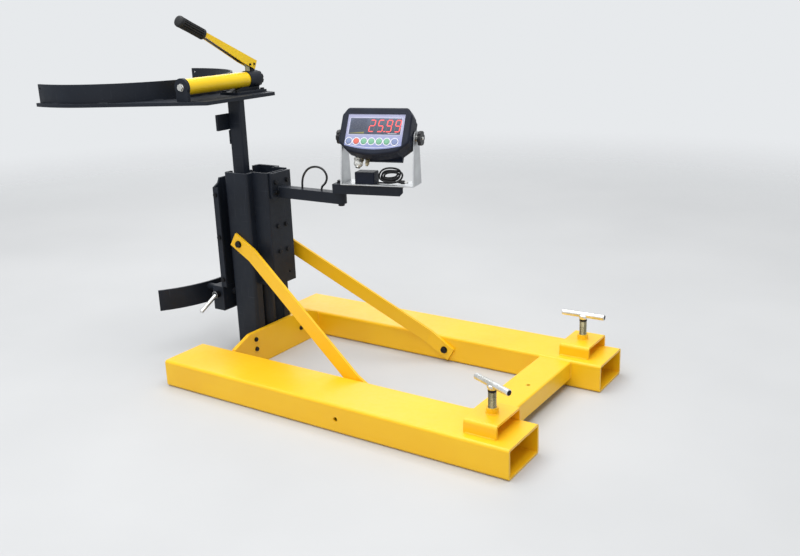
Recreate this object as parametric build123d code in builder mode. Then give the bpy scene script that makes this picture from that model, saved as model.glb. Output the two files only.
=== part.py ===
from build123d import *
import os
from math import acos, asin, atan2, cos, degrees, hypot, pi, radians, sin, tan

# Fork-mounted drum lifter with a hand-pumped mast and a swivelling weight indicator.
# Millimetres, +Z up, +X towards the fork truck. The origin is under the middle of the mast, on its foot.
# Left is the driver's left hand (-Y), right is +Y.

LEFT = -1
RIGHT = 1
SIDES = {"left": LEFT, "right": RIGHT}

# Fits
running_gap = 0.05
slide_gap = 0.4
body_gap = 0.3

# Fork pockets
pocket_length = 1066.8
pocket_width = 152.4
pocket_height = 76.2
pocket_wall = 6.35
pocket_corner = 8.0
pocket_spacing = 381.0
pocket_overhang = 68.5

# Rear cross tube
cross_width = 92.0
cross_height = 51.0
cross_wall = 5.0
cross_lift = 21.5
cross_set_back = 129.0
cross_hole = 5.0
cross_hole_shift = 12.0

# Front plate
front_plate_thickness = 12.0
front_plate_height = 101.6
front_plate_shoulder = 125.0
front_bolt_y = 102.0
front_bolt_levels = (50.0, 80.0)

# Screw saddles and clamp screws
saddle_length = 84.0
saddle_width = 122.0
saddle_height = 33.0
saddle_sheet = 6.0
saddle_bend = 10.0
saddle_set_back = 86.8
saddle_shift = 13.0
nut_radius = 14.5
nut_height = 14.0
screw_radius = 10.0
screw_top = 174.0
screw_tip = 56.0
pivot_nub_radius = 5.0
pivot_nub_length = 6.0
hub_radius = 12.5
hub_height = 12.5
hub_overlap = 7.0
cross_bar_radius = 8.0
cross_bar_length = 120.0
cross_bar_lift = 5.0
cross_bar_turn = {"left": -24.0, "right": 2.0}
pad_radius = 17.0
pad_height = 11.0

# Mast
mast_depth = 85.0
mast_width = 150.0
mast_lip = 30.0
mast_wall = 8.0
mast_bend = 9.0
mast_height = 563.0
ear_thickness = 12.0
ear_width = 50.0
ear_height = 92.0
foot_thickness = 12.0

# Mast cover behind the channels
cover_depth = 55.0
cover_width = 98.0
cover_sheet = 5.0
cover_bottom = 234.0
cover_top = 565.0
cover_notch_width = 24.0
cover_notch_height = 40.0
cover_bolt_y = 17.0
cover_bolt_levels = (332.0, 407.0)
cover_drain_y = 20.0
cover_drain_z = 262.0
cover_drain_radius = 4.0

# Braces
brace_width = 42.0
brace_thickness = 8.0
brace_end = 25.0
brace_top_flat = 54.0
brace_foot_flat = 60.0
brace_top_z = 357.0
brace_foot_x = 525.0
brace_foot_z = 37.0

# Fasteners
bolt_radius = 6.0
bolt_head_radius = 10.5
bolt_head_height = 7.0
small_bolt_radius = 4.0
small_head_radius = 7.0
small_head_height = 5.0

# Lift cylinder
cylinder_x = 15.0
cylinder_radius = 25.0
cylinder_bore = 20.0
cylinder_top = 300.0
cylinder_floor = 18.0
cylinder_cap = 22.0
rod_radius = 14.0
rod_top = 440.0
piston_height = 30.0
piston_bottom = 125.0
port_radius = 8.0
port_length = 8.5
port_z = 44.0

# Load cell
cell_radius = 22.0
cell_boss_radius = 12.0
cell_boss_height = 6.0

# Carriage
post_depth = 46.0
post_width = 24.0
post_wall = 4.0
post_bottom = 150.0
carriage_width = 190.0
carriage_sheet = 6.0
carriage_flange = 19.0
carriage_top = 545.0
carriage_flange_top = 520.0
carriage_step_y = 75.0
carriage_step_z = 531.0
carriage_top_y = 68.0
carriage_gap = 23.0
flange_bolt_levels = (245.0, 373.0, 499.0)
block_depth = 41.5
block_width = 194.0
block_bottom = 148.0
block_height = 74.0
spine_plate = 8.0
spine_half_width = 42.0
spine_bottom = 195.0
spine_top = 505.0
spine_rear = 33.0
axle_radius = 10.0
axle_levels = {"upper": 470.0, "lower": 235.0}
roller_gap = 0.5
roller_width = 19.0
roller_side_gap = 1.5
bar_width = 112.0
bar_height = 45.0
bar_thickness = 8.0
bar_bottom = 676.0

# Drum holder
drum_axis = -468.5
drum_radius = 300.0
plate_bottom = 759.0
plate_thickness = 10.0
plate_rim = 18.0
plate_reach = 99.0
plate_rear = -16.0
plate_rear_half = 140.0
band_thickness = 6.0
band_height = 52.0
band_hole_radius = 3.5
band_hole_drop = 12.0
band_hole_set_in = 2.0

# Lower saddle
lower_reach = 40.0
lower_bottom = 150.0
lower_height = 63.5
lower_plate = 6.0
guide_radius = 10.0
guide_y = 50.0
guide_z = 198.0
guide_tail = 8.0
lever_screw_radius = 5.0
lever_hub_radius = 10.0
lever_hub_height = 15.0
lever_rod_radius = 6.0
lever_rod_out = 66.0
lever_rod_drop = 34.0

# Hand pump
pump_x = -88.5
pump_z = 807.0
tube_radius = 22.2
tube_wall = 4.0
tube_start = -150.0
tube_end = 97.0
cap_length = 10.0
cap_radius = 25.0
cap_post_width = 44.0
pump_foot_width = 70.0
pump_foot_thickness = 7.0
pump_bolt_x = 26.0
head_length = 45.0
head_radius = 25.0
head_foot_start = 23.0
head_foot_end = 147.0
head_bolt_set_in = 9.0
head_neck_half_width = 12.0
plunger_y = 109.0
plunger_radius = 7.0
plunger_bottom = 796.0
plunger_floor = 780.0
eye_bottom = 844.5
eye_height = 12.5
eye_length = 16.0
eye_slack = 4.0
lug_thickness = 10.0
lug_half_length = 8.0
pivot_y = 127.0
pivot_z = 850.0
pin_radius = 3.0
pin_length = 28.0
lever_angle = 24.5
lever_length = 208.0
lever_width = 22.0
lever_wall = 3.5
lever_rise = 13.7
lever_depth = 26.0
lever_tip_depth = 13.0
lever_heel = 9.0
lever_knee = 45.0
lever_plug = 7.0
tang_radius = 8.0
tang_length = 82.0
grip_length = 97.0
grip_radius = 16.0
grip_round = 5.0
grip_groove_count = 8
grip_groove_start = 16.0
grip_groove_depth = 1.6
grip_groove_width = 4.0
grip_groove_pitch = 9.5
knob_length = 11.0
knob_radius = 22.0
knob_lobes = 8
knob_lobe_radius = 4.0
valve_radius = 6.0
valve_depth = 14.0

# Indicator arm
arm_bracket_thickness = 9.0
arm_bracket_width = 82.0
arm_bracket_bottom = 492.0
arm_bracket_top = 563.0
arm_bolt_y = 24.0
arm_bolt_levels = (507.0, 536.0)
arm_size = 30.0
arm_wall = 3.0
arm_top = 521.0
arm_pivot_x = 318.0
arm_plug = 20.0

# Tray and yoke
tray_turn = 13.0
tray_start = -14.0
tray_end = 188.0
tray_width = 50.0
tray_sheet = 3.5
tray_lift = 27.0
tray_corner_cut = 9.0
tray_arm_gap = 1.0
boss_radius = 13.0
yoke_start = 13.0
yoke_span = 207.0
yoke_front = -30.0
yoke_depth = 66.0
yoke_sheet = 3.0
tilt_axis_lift = 123.0
tilt_axis_y = 8.0
yoke_head_radius = 19.0

# Indicator
tilt_angle = 30.0
face_height = 41.0
rim_height = 43.0
rim_round = 6.0
split_height = 8.0
case_back = -22.0
case_wall = 3.5
case_half_width = 98.0
case_top_half_width = 84.0
case_top = 67.0
case_shoulder = 46.0
case_hip = -30.0
case_foot_half_width = 70.0
case_bottom = -54.0
case_bow = 10.0
case_corner = 11.0
case_back_inset = 4.0
stand_start = -36.0
stand_end = 68.0
stand_bottom = -61.0
stand_height = 16.0
stand_depth = 10.0
back_round = 8.0
panel_width = 160.0
panel_height = 87.0
panel_centre = 5.0
panel_bow = 11.0
panel_thickness = 2.0
panel_ledge = 2.0
ledge_thickness = 2.0
window_width = 143.0
window_height = 44.0
window_centre = 14.7
window_proud = 0.6
key_count = 7
key_radius = 8.0
key_pitch = 21.3
key_row = -27.0
key_offset = -4.5
key_height = 3.4
key_proud = 0.9
key_gap = 0.4
boss_hole_radius = 4.0
tilt_boss_radius = 7.5
tilt_boss_length = 18.0
tilt_boss_reach = 100.0
tilt_knob_radius = 19.0
tilt_knob_length = 9.0
tilt_stem_radius = 7.0
tilt_stem_length = 6.0
tilt_knob_lobes = 6
tilt_knob_lobe_radius = 5.0
tilt_stud_length = 12.0
gland_seat = -60.0
gland_level = -5.0
gland_stem_length = 10.0
gland_nose_length = 4.0
gland_offset = -51.0
gland_radius = 14.0
gland_length = 20.0
gland_stem_radius = 6.0
gland_nose_radius = 7.0
jack_offset = -26.0
jack_radius = 5.5
jack_length = 14.0
jack_stem_radius = 3.5
jack_nose_radius = 4.0

# Power adapter and cable hank
adapter_start = 50.0
adapter_length = 56.0
adapter_width = 40.0
adapter_height = 31.0
adapter_corner = 5.0
adapter_edge = 3.0
relief_radius = 3.2
relief_length = 7.0
hank_wire = 5.0
hank_pitch = 8.0
hank_layer = 5.6
hank_half_width = 22.0
hank_run = 26.0
hank_half_turns = 8
hank_roll = 40.0
hank_lead = 20.0
hank_tail = 15.0
hank_across = -14.0
hank_rise = 3.5
plug_radius = 5.0
plug_length = 18.0
plug_tip_radius = 2.8
plug_tip_length = 9.0

# Arm cable: its loop stands in the arm's middle plane, points as X and height above the arm
cable_wire = 6.0
cable_corner_share = 0.45
cable_points = [
    (183.0, 0.0), (183.0, 20.0), (192.0, 43.0), (212.0, 61.0), (240.0, 66.0),
    (262.0, 59.0), (274.0, 41.0), (267.0, 21.0), (251.0, 10.0), (251.0, 0.0),
]

# Derived places
pocket_y = (pocket_spacing + pocket_width) / 2
pocket_inner_y = pocket_spacing / 2
pocket_rear_x = pocket_length - pocket_overhang
saddle_x = pocket_rear_x - saddle_set_back
saddle_top = pocket_height + saddle_height
mast_rear = mast_depth / 2
mast_half = mast_width / 2
cover_rear = mast_rear + cover_depth
post_front = -mast_rear - carriage_gap
post_rear = post_front + post_depth
plate_top = plate_bottom + plate_thickness
foot_top = plate_top + pump_foot_thickness
arm_middle_z = arm_top - arm_size / 2
tray_top = arm_top + tray_lift
yoke_top = tray_top + yoke_sheet
tilt_axis_z = tray_top + tilt_axis_lift
hank_level = yoke_top + hank_rise
big_head = (bolt_head_radius, bolt_head_height)
small_head = (small_head_radius, small_head_height)
tray_plane = Plane(
    origin=(arm_pivot_x, 0, 0),
    x_dir=(cos(radians(tray_turn)), sin(radians(tray_turn)), 0),
    z_dir=(0, 0, 1),
)
yoke_middle = yoke_start + yoke_span / 2
tilt_centre = tray_plane.from_local_coords((yoke_middle, tilt_axis_y, tilt_axis_z))
face_plane = Plane(
    origin=tilt_centre,
    x_dir=tray_plane.x_dir,
    z_dir=tray_plane.y_dir * -cos(radians(tilt_angle)) + Vector(0, 0, sin(radians(tilt_angle))),
)

head_bolt_spots = [
    (pump_x + shift, y)
    for shift in (-pump_bolt_x, pump_bolt_x)
    for y in (head_foot_start + head_bolt_set_in, head_foot_end - head_bolt_set_in)
]

os.makedirs("parts", exist_ok=True)


def keep(builder, name):
    """Labels a finished piece and writes it under its name."""
    builder.part.label = name
    export_step(builder.part, f"parts/{name}.step")


def drill(plane, radius, depth):
    """Cuts a round hole into the part, from the plane against its normal."""
    with BuildSketch(plane) as section:
        Circle(radius)
    extrude(section.sketch, amount=-depth, mode=Mode.SUBTRACT)


def post_round(plane, radius, length):
    """Adds a round bar that starts at the plane and runs along its normal."""
    with BuildSketch(plane) as section:
        Circle(radius)
    extrude(section.sketch, amount=length)


def add_bolt(plane, radius, length, head_radius, head_height):
    """Adds one hexagon bolt whose head sits on the plane and whose shank runs below it."""
    with BuildSketch(plane) as head:
        RegularPolygon(head_radius, 6)
    extrude(head.sketch, amount=head_height)
    with BuildSketch(plane) as shank:
        Circle(radius)
    extrude(shank.sketch, amount=-length)


def facing(origin, normal):
    """Gives a plane at a point that looks along a normal, with a level local X."""
    level = (0, 1, 0) if abs(normal[0]) > abs(normal[1]) else (1, 0, 0)
    return Plane(origin=origin, x_dir=level, z_dir=normal)


def saddle_y(side):
    """Gives the middle of a pocket's screw saddle across the lifter."""
    return side * pocket_y + saddle_shift


# Frame
def fork_pocket(name, side):
    """A rectangular tube that takes one fork."""
    section_plane = Plane(
        origin=(-pocket_overhang, side * pocket_y, pocket_height / 2), x_dir=(0, 1, 0), z_dir=(1, 0, 0)
    )
    with BuildPart() as pocket:
        with BuildSketch(section_plane):
            RectangleRounded(pocket_width, pocket_height, pocket_corner)
            RectangleRounded(
                pocket_width - 2 * pocket_wall,
                pocket_height - 2 * pocket_wall,
                pocket_corner - pocket_wall,
                mode=Mode.SUBTRACT,
            )
        extrude(amount=pocket_length)
        drill(
            facing((saddle_x, saddle_y(side), pocket_height), (0, 0, 1)),
            screw_radius + slide_gap,
            2 * pocket_wall,
        )
        outer_y = side * (pocket_inner_y + pocket_width)
        drill(facing((brace_foot_x, outer_y, brace_foot_z), (0, side, 0)), bolt_radius, pocket_width)
    keep(pocket, name)


def screw_saddle(name, side):
    """An upturned channel on the pocket with the clamp screw's round nut on top."""
    middle_y = saddle_y(side)
    section_plane = Plane(
        origin=(saddle_x - saddle_length / 2, middle_y, pocket_height), x_dir=(0, 1, 0), z_dir=(1, 0, 0)
    )
    with BuildPart() as saddle:
        with BuildSketch(section_plane) as section:
            Rectangle(saddle_width, saddle_height, align=(Align.CENTER, Align.MIN))
            Rectangle(
                saddle_width - 2 * saddle_sheet,
                saddle_height - saddle_sheet,
                align=(Align.CENTER, Align.MIN),
                mode=Mode.SUBTRACT,
            )
            fillet(section.vertices().group_by(Axis.Y)[-1], saddle_bend)
        extrude(amount=saddle_length)
        top_plane = facing((saddle_x, middle_y, saddle_top), (0, 0, 1))
        post_round(top_plane, nut_radius, nut_height)
        drill(top_plane.offset(nut_height), screw_radius + running_gap, nut_height + saddle_sheet)
    keep(saddle, name)


def brace(name, side):
    """A flat bar, cranked at both ends, from the mast's side to the pocket's inner side."""
    length = hypot(brace_foot_x, brace_top_z - brace_foot_z)
    run = brace_foot_x / length
    drop = (brace_top_z - brace_foot_z) / length
    bar_plane = Plane(
        origin=(0, side * mast_half, brace_top_z), x_dir=(run, 0, -drop), z_dir=(side * drop, 0, side * run)
    )
    reach = pocket_inner_y - mast_half
    with BuildPart() as bar:
        with BuildSketch(bar_plane):
            with BuildLine():
                Polyline(
                    (-brace_end, 0),
                    (brace_top_flat, 0),
                    (length - brace_foot_flat, reach - brace_thickness),
                    (length + brace_end, reach - brace_thickness),
                    (length + brace_end, reach),
                    (length - brace_foot_flat, reach),
                    (brace_top_flat, brace_thickness),
                    (-brace_end, brace_thickness),
                    close=True,
                )
            make_face()
        extrude(amount=brace_width / 2, both=True)
        top_hole = facing((0, side * (mast_half + brace_thickness), brace_top_z), (0, side, 0))
        foot_hole = facing((brace_foot_x, side * pocket_inner_y, brace_foot_z), (0, side, 0))
        drill(top_hole, bolt_radius, brace_thickness)
        drill(foot_hole, bolt_radius, brace_thickness)
    keep(bar, name)


def mast_channel(name, side):
    """A lipped channel that guides the carriage's rollers, with an ear that bolts to the front plate."""
    with BuildPart() as channel:
        with BuildSketch() as section:
            with Locations((0, side * (mast_half - mast_lip / 2))):
                Rectangle(mast_depth, mast_lip)
            with Locations((0, side * (mast_half - mast_lip / 2 - mast_wall / 2))):
                Rectangle(mast_depth - 2 * mast_wall, mast_lip - mast_wall, mode=Mode.SUBTRACT)
            outer_corners = section.vertices().sort_by(lambda corner: -side * corner.Y)[:2]
            fillet(outer_corners, mast_bend)
        extrude(amount=mast_height)
        ear_span = ear_width + mast_wall
        with BuildSketch():
            with Locations((mast_rear - ear_thickness / 2, side * (mast_half - mast_wall + ear_span / 2))):
                Rectangle(ear_thickness, ear_span)
        extrude(amount=ear_height)
        for level in front_bolt_levels:
            drill(facing((mast_rear, side * front_bolt_y, level), (1, 0, 0)), bolt_radius, ear_thickness)
        drill(facing((0, side * mast_half, brace_top_z), (0, side, 0)), bolt_radius, mast_wall)
    keep(channel, name)


def clamp_pad(name, side):
    """The swivelling foot under a clamp screw, which presses on the fork."""
    with BuildPart() as pad:
        floor_plane = facing((saddle_x, saddle_y(side), screw_tip - pad_height), (0, 0, 1))
        post_round(floor_plane, pad_radius, pad_height - body_gap)
        socket_depth = pivot_nub_length + 2 * body_gap
        drill(floor_plane.offset(pad_height), pivot_nub_radius + running_gap, socket_depth)
    keep(pad, name)


def clamp_screw(name, side, turn):
    """A T-screw: threaded shank, hub and cross bar."""
    with BuildPart() as screw:
        tip_plane = facing((saddle_x, saddle_y(side), screw_tip), (0, 0, 1))
        post_round(tip_plane, screw_radius, screw_top - screw_tip)
        post_round(tip_plane.offset(-pivot_nub_length), pivot_nub_radius, pivot_nub_length)
        post_round(tip_plane.offset(screw_top - screw_tip - hub_overlap), hub_radius, hub_height)
        bar_dir = (cos(radians(turn)), sin(radians(turn)), 0)
        bar_plane = Plane(
            origin=(saddle_x, saddle_y(side), screw_top + cross_bar_lift), x_dir=(0, 0, 1), z_dir=bar_dir
        )
        with BuildSketch(bar_plane):
            Circle(cross_bar_radius)
        extrude(amount=cross_bar_length / 2, both=True)
    keep(screw, name)


for side_name, side_sign in SIDES.items():
    fork_pocket(f"{side_name}_fork_pocket", side_sign)
    screw_saddle(f"{side_name}_screw_saddle", side_sign)
    brace(f"{side_name}_brace", side_sign)
    mast_channel(f"{side_name}_mast_channel", side_sign)
    clamp_pad(f"{side_name}_clamp_pad", side_sign)
    clamp_screw(f"{side_name}_clamp_screw", side_sign, cross_bar_turn[side_name])

with BuildPart() as rear_cross_tube:
    cross_x = pocket_rear_x - cross_set_back
    cross_plane = Plane(
        origin=(cross_x, -pocket_inner_y, cross_lift + cross_height / 2), x_dir=(1, 0, 0), z_dir=(0, 1, 0)
    )
    with BuildSketch(cross_plane):
        RectangleRounded(cross_width, cross_height, cross_wall)
        Rectangle(cross_width - 2 * cross_wall, cross_height - 2 * cross_wall, mode=Mode.SUBTRACT)
    extrude(amount=pocket_spacing)
    hole_plane = facing((cross_x + cross_hole_shift, 0, cross_lift + cross_height), (0, 0, 1))
    drill(hole_plane, cross_hole, 2 * cross_wall)
keep(rear_cross_tube, "rear_cross_tube")

with BuildPart() as front_plate:
    with BuildSketch(Plane(origin=(mast_rear, 0, 0), x_dir=(0, 1, 0), z_dir=(1, 0, 0))):
        with BuildLine():
            Polyline(
                (-pocket_inner_y, 0),
                (pocket_inner_y, 0),
                (pocket_inner_y, pocket_height),
                (front_plate_shoulder, front_plate_height),
                (-front_plate_shoulder, front_plate_height),
                (-pocket_inner_y, pocket_height),
                close=True,
            )
        make_face()
    extrude(amount=front_plate_thickness)
    for side_sign in SIDES.values():
        for level in front_bolt_levels:
            hole_spot = (mast_rear + front_plate_thickness, side_sign * front_bolt_y, level)
            drill(facing(hole_spot, (1, 0, 0)), bolt_radius, front_plate_thickness)
keep(front_plate, "front_plate")

with BuildPart() as mast_foot:
    with BuildSketch():
        Rectangle(mast_depth, mast_width - 2 * mast_lip)
        Rectangle(mast_depth - 2 * mast_wall, mast_width - 2 * mast_wall)
    extrude(amount=foot_thickness)
keep(mast_foot, "mast_foot")

with BuildPart() as lift_cylinder:
    base_plane = facing((cylinder_x, 0, foot_thickness), (0, 0, 1))
    barrel_length = cylinder_top - foot_thickness
    post_round(base_plane, cylinder_radius, barrel_length)
    with BuildSketch(base_plane.offset(cylinder_floor)):
        Circle(cylinder_bore + running_gap)
    extrude(amount=barrel_length - cylinder_floor - cylinder_cap, mode=Mode.SUBTRACT)
    drill(base_plane.offset(barrel_length), rod_radius + running_gap, cylinder_cap)
    wall_middle = (cylinder_bore + cylinder_radius) / 2
    post_round(facing((cylinder_x, wall_middle, port_z), (0, 1, 0)), port_radius, port_length)
keep(lift_cylinder, "lift_cylinder")

with BuildPart() as mast_cover:
    with BuildSketch(Plane.XY.offset(cover_bottom)):
        with Locations((mast_rear + cover_depth / 2, 0)):
            Rectangle(cover_depth, cover_width)
        with Locations((mast_rear + (cover_depth - cover_sheet) / 2, 0)):
            Rectangle(cover_depth - cover_sheet, cover_width - 2 * cover_sheet, mode=Mode.SUBTRACT)
    extrude(amount=cover_top - cover_bottom)
    fillet(mast_cover.edges().filter_by(Axis.Z).group_by(Axis.X)[-1], cover_sheet)
    notch_corner = cover_width / 2
    with BuildSketch(Plane(origin=(cover_rear, 0, cover_top), x_dir=(0, 1, 0), z_dir=(1, 0, 0))):
        with BuildLine():
            Polyline(
                (notch_corner - cover_notch_width, 0),
                (notch_corner, 0),
                (notch_corner, -cover_notch_height),
                close=True,
            )
        make_face()
    extrude(amount=-2 * cover_sheet, mode=Mode.SUBTRACT)
    for side_sign in SIDES.values():
        for level in cover_bolt_levels:
            bolt_spot = (cover_rear, side_sign * cover_bolt_y, level)
            drill(facing(bolt_spot, (1, 0, 0)), small_bolt_radius, cover_sheet)
        for level in arm_bolt_levels:
            bolt_spot = (cover_rear, side_sign * arm_bolt_y, level)
            drill(facing(bolt_spot, (1, 0, 0)), small_bolt_radius, cover_sheet)
    drill(facing((cover_rear, cover_drain_y, cover_drain_z), (1, 0, 0)), cover_drain_radius, cover_sheet)
keep(mast_cover, "mast_cover")

with BuildPart() as indicator_arm:
    bracket_height = arm_bracket_top - arm_bracket_bottom
    bracket_middle = (arm_bracket_top + arm_bracket_bottom) / 2
    with BuildSketch(Plane(origin=(cover_rear, 0, bracket_middle), x_dir=(0, 1, 0), z_dir=(1, 0, 0))):
        Rectangle(arm_bracket_width, bracket_height)
    extrude(amount=arm_bracket_thickness)
    for side_sign in SIDES.values():
        for level in arm_bolt_levels:
            bolt_spot = (cover_rear + arm_bracket_thickness, side_sign * arm_bolt_y, level)
            drill(facing(bolt_spot, (1, 0, 0)), small_bolt_radius, arm_bracket_thickness)
    arm_start = cover_rear + arm_bracket_thickness
    with BuildSketch(Plane.XY.offset(arm_top - arm_size)):
        with Locations(((arm_start + arm_pivot_x) / 2, 0)):
            Rectangle(arm_pivot_x - arm_start, arm_size)
        with Locations((arm_pivot_x, 0)):
            Circle(arm_size / 2)
    extrude(amount=arm_size)
    with BuildSketch(Plane(origin=(arm_start, 0, arm_middle_z), x_dir=(0, 1, 0), z_dir=(1, 0, 0))):
        Rectangle(arm_size - 2 * arm_wall, arm_size - 2 * arm_wall)
    extrude(amount=arm_pivot_x - arm_plug - arm_start, mode=Mode.SUBTRACT)
    drill(facing((arm_pivot_x, 0, arm_top), (0, 0, 1)), bolt_radius, arm_size)
keep(indicator_arm, "indicator_arm")

with BuildPart() as frame_bolts:
    brace_grip = brace_thickness + mast_wall
    foot_grip = brace_thickness + pocket_wall
    front_grip = front_plate_thickness + ear_thickness
    arm_grip = arm_bracket_thickness + cover_sheet
    for side_sign in SIDES.values():
        top_spot = (0, side_sign * (mast_half + brace_thickness), brace_top_z)
        foot_spot = (brace_foot_x, side_sign * (pocket_inner_y - brace_thickness), brace_foot_z)
        add_bolt(facing(top_spot, (0, side_sign, 0)), bolt_radius, brace_grip, *big_head)
        add_bolt(facing(foot_spot, (0, -side_sign, 0)), bolt_radius, foot_grip, *big_head)
        for level in front_bolt_levels:
            spot = (mast_rear + front_plate_thickness, side_sign * front_bolt_y, level)
            add_bolt(facing(spot, (1, 0, 0)), bolt_radius, front_grip, *small_head)
        for level in cover_bolt_levels:
            spot = (cover_rear, side_sign * cover_bolt_y, level)
            add_bolt(facing(spot, (1, 0, 0)), small_bolt_radius, cover_sheet, *small_head)
        for level in arm_bolt_levels:
            spot = (cover_rear + arm_bracket_thickness, side_sign * arm_bolt_y, level)
            add_bolt(facing(spot, (1, 0, 0)), small_bolt_radius, arm_grip, *small_head)
    pivot_plane = facing((arm_pivot_x, 0, tray_top + body_gap), (0, 0, 1))
    pivot_grip = tray_top + body_gap - arm_top + arm_size
    add_bolt(pivot_plane, bolt_radius, pivot_grip, *big_head)
    with BuildSketch(pivot_plane.offset(-pivot_grip)):
        RegularPolygon(bolt_head_radius, 6)
    extrude(amount=-bolt_head_height)
keep(frame_bolts, "frame_bolts")

with BuildPart() as arm_cable:
    route = [Vector(x, 0, arm_top + height) for x, height in cable_points]
    cable_radii = []
    for before, point, after in zip(route, route[1:], route[2:]):
        turn = (point - before).get_angle(after - point)
        shorter = min((point - before).length, (after - point).length)
        cable_radii.append(cable_corner_share * shorter / tan(radians(turn / 2)))
    with BuildLine() as cable_path:
        FilletPolyline(*route, radius=cable_radii)
    with BuildSketch(facing(route[0], (0, 0, 1))):
        Circle(cable_wire / 2)
    sweep(path=cable_path.wire())
cable_length = cable_path.wire().length
cable_section = pi * cable_wire**2 / 4
print("arm cable radii", [round(radius, 1) for radius in cable_radii], "length", round(cable_length))
print("arm cable volume over section times length", arm_cable.part.volume / cable_section / cable_length)
keep(arm_cable, "arm_cable")

# Carriage
with BuildPart() as drum_post:
    post_middle = (post_front + post_rear) / 2
    with BuildSketch(Plane.XY.offset(post_bottom)):
        with Locations((post_middle, 0)):
            RectangleRounded(post_depth, post_width, post_wall)
            Rectangle(post_depth - 2 * post_wall, post_width - 2 * post_wall, mode=Mode.SUBTRACT)
    extrude(amount=plate_bottom - post_bottom)
    with BuildSketch(Plane(origin=(post_front, 0, bar_bottom), x_dir=(0, 1, 0), z_dir=(-1, 0, 0))):
        Rectangle(bar_width, bar_height, align=(Align.CENTER, Align.MAX))
    extrude(amount=bar_thickness)
keep(drum_post, "drum_post")

with BuildPart() as carriage_plate:
    block_top = block_bottom + block_height
    half = carriage_width / 2
    with BuildSketch(Plane(origin=(post_front, 0, 0), x_dir=(0, -1, 0), z_dir=(-1, 0, 0))):
        with BuildLine():
            Polyline(
                (-half, block_top),
                (half, block_top),
                (half, carriage_flange_top),
                (carriage_step_y, carriage_step_z),
                (carriage_top_y, carriage_top),
                (-carriage_top_y, carriage_top),
                (-carriage_step_y, carriage_step_z),
                (-half, carriage_flange_top),
                close=True,
            )
        make_face()
    extrude(amount=carriage_sheet)
    flange_middle = post_front - carriage_sheet + carriage_flange / 2
    for side_sign in SIDES.values():
        with BuildSketch(Plane.XY.offset(block_top)):
            with Locations((flange_middle, side_sign * (half - carriage_sheet / 2))):
                Rectangle(carriage_flange, carriage_sheet)
        extrude(amount=carriage_flange_top - block_top)
        for level in flange_bolt_levels:
            hole_plane = facing((flange_middle, side_sign * half, level), (0, side_sign, 0))
            drill(hole_plane, small_bolt_radius, carriage_sheet)
keep(carriage_plate, "carriage_plate")

with BuildPart() as saddle_block:
    block_plane = Plane(
        origin=(post_front, 0, block_bottom + block_height / 2), x_dir=(0, -1, 0), z_dir=(-1, 0, 0)
    )
    with BuildSketch(block_plane):
        Rectangle(block_width, block_height)
    extrude(amount=block_depth)
    for side_sign in SIDES.values():
        guide_plane = facing((post_front, side_sign * guide_y, guide_z), (1, 0, 0))
        drill(guide_plane, guide_radius + running_gap, block_depth)
    clamp_x = post_front - block_depth / 2
    screw_plane = facing((clamp_x, -block_width / 2, guide_z), (0, -1, 0))
    drill(screw_plane, lever_screw_radius + running_gap, block_width / 2 - guide_y)
keep(saddle_block, "saddle_block")

with BuildPart() as carriage_spine:
    spine_height = spine_top - spine_bottom
    spine_depth = spine_rear - post_rear
    with BuildSketch(Plane.XY.offset(spine_bottom)):
        with Locations((post_rear + spine_depth / 2, 0)):
            Rectangle(spine_depth, 2 * spine_half_width)
        with Locations((post_rear + (spine_depth + spine_plate) / 2, 0)):
            Rectangle(spine_depth - spine_plate, 2 * (spine_half_width - spine_plate), mode=Mode.SUBTRACT)
    extrude(amount=spine_height)
    with BuildSketch(Plane.XY.offset(spine_top - spine_plate)):
        with Locations((post_rear + spine_depth / 2, 0)):
            Rectangle(spine_depth, 2 * spine_half_width)
    extrude(amount=spine_plate)
    axle_end = mast_half - mast_wall - roller_side_gap
    for side_sign in SIDES.values():
        for level in axle_levels.values():
            axle_plane = facing((0, side_sign * spine_half_width, level), (0, side_sign, 0))
            post_round(axle_plane, axle_radius, axle_end - spine_half_width)
keep(carriage_spine, "carriage_spine")


def roller_pair(name, level):
    """The two guide rollers of one level, one in each mast channel."""
    roller_radius = mast_rear - mast_wall - roller_gap
    with BuildPart() as rollers:
        for side_sign in SIDES.values():
            outer_plane = facing((0, side_sign * axle_end, level), (0, side_sign, 0))
            with BuildSketch(outer_plane):
                Circle(roller_radius)
                Circle(axle_radius + running_gap, mode=Mode.SUBTRACT)
            extrude(amount=-roller_width)
    keep(rollers, name)


for level_name, level in axle_levels.items():
    roller_pair(f"{level_name}_rollers", level)

with BuildPart() as lift_rod:
    post_round(facing((cylinder_x, 0, piston_bottom), (0, 0, 1)), cylinder_bore, piston_height)
    post_round(facing((cylinder_x, 0, piston_bottom), (0, 0, 1)), rod_radius, rod_top - piston_bottom)
keep(lift_rod, "lift_rod")

with BuildPart() as load_cell:
    cell_height = spine_top - spine_plate - rod_top
    cell_plane = facing((cylinder_x, 0, rod_top), (0, 0, 1))
    post_round(cell_plane, cell_boss_radius, cell_height)
    post_round(cell_plane.offset(cell_boss_height), cell_radius, cell_height - 2 * cell_boss_height)
keep(load_cell, "load_cell")


def around_drum(radius, angle):
    """Gives the point at a radius and an angle about the drum's axis, with angle 0 towards the mast."""
    return (drum_axis + radius * cos(radians(angle)), radius * sin(radians(angle)))


def keep_sector(reach, radius):
    """Keeps only the part of a sketch within an angle each side of the mast's direction."""
    corners = [around_drum(2 * radius, reach * share) for share in (-1, -0.5, 0, 0.5, 1)]
    with BuildLine() as wedge:
        Polyline((drum_axis, 0), *corners, close=True)
    make_face(wedge.edges(), mode=Mode.INTERSECT)


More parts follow.
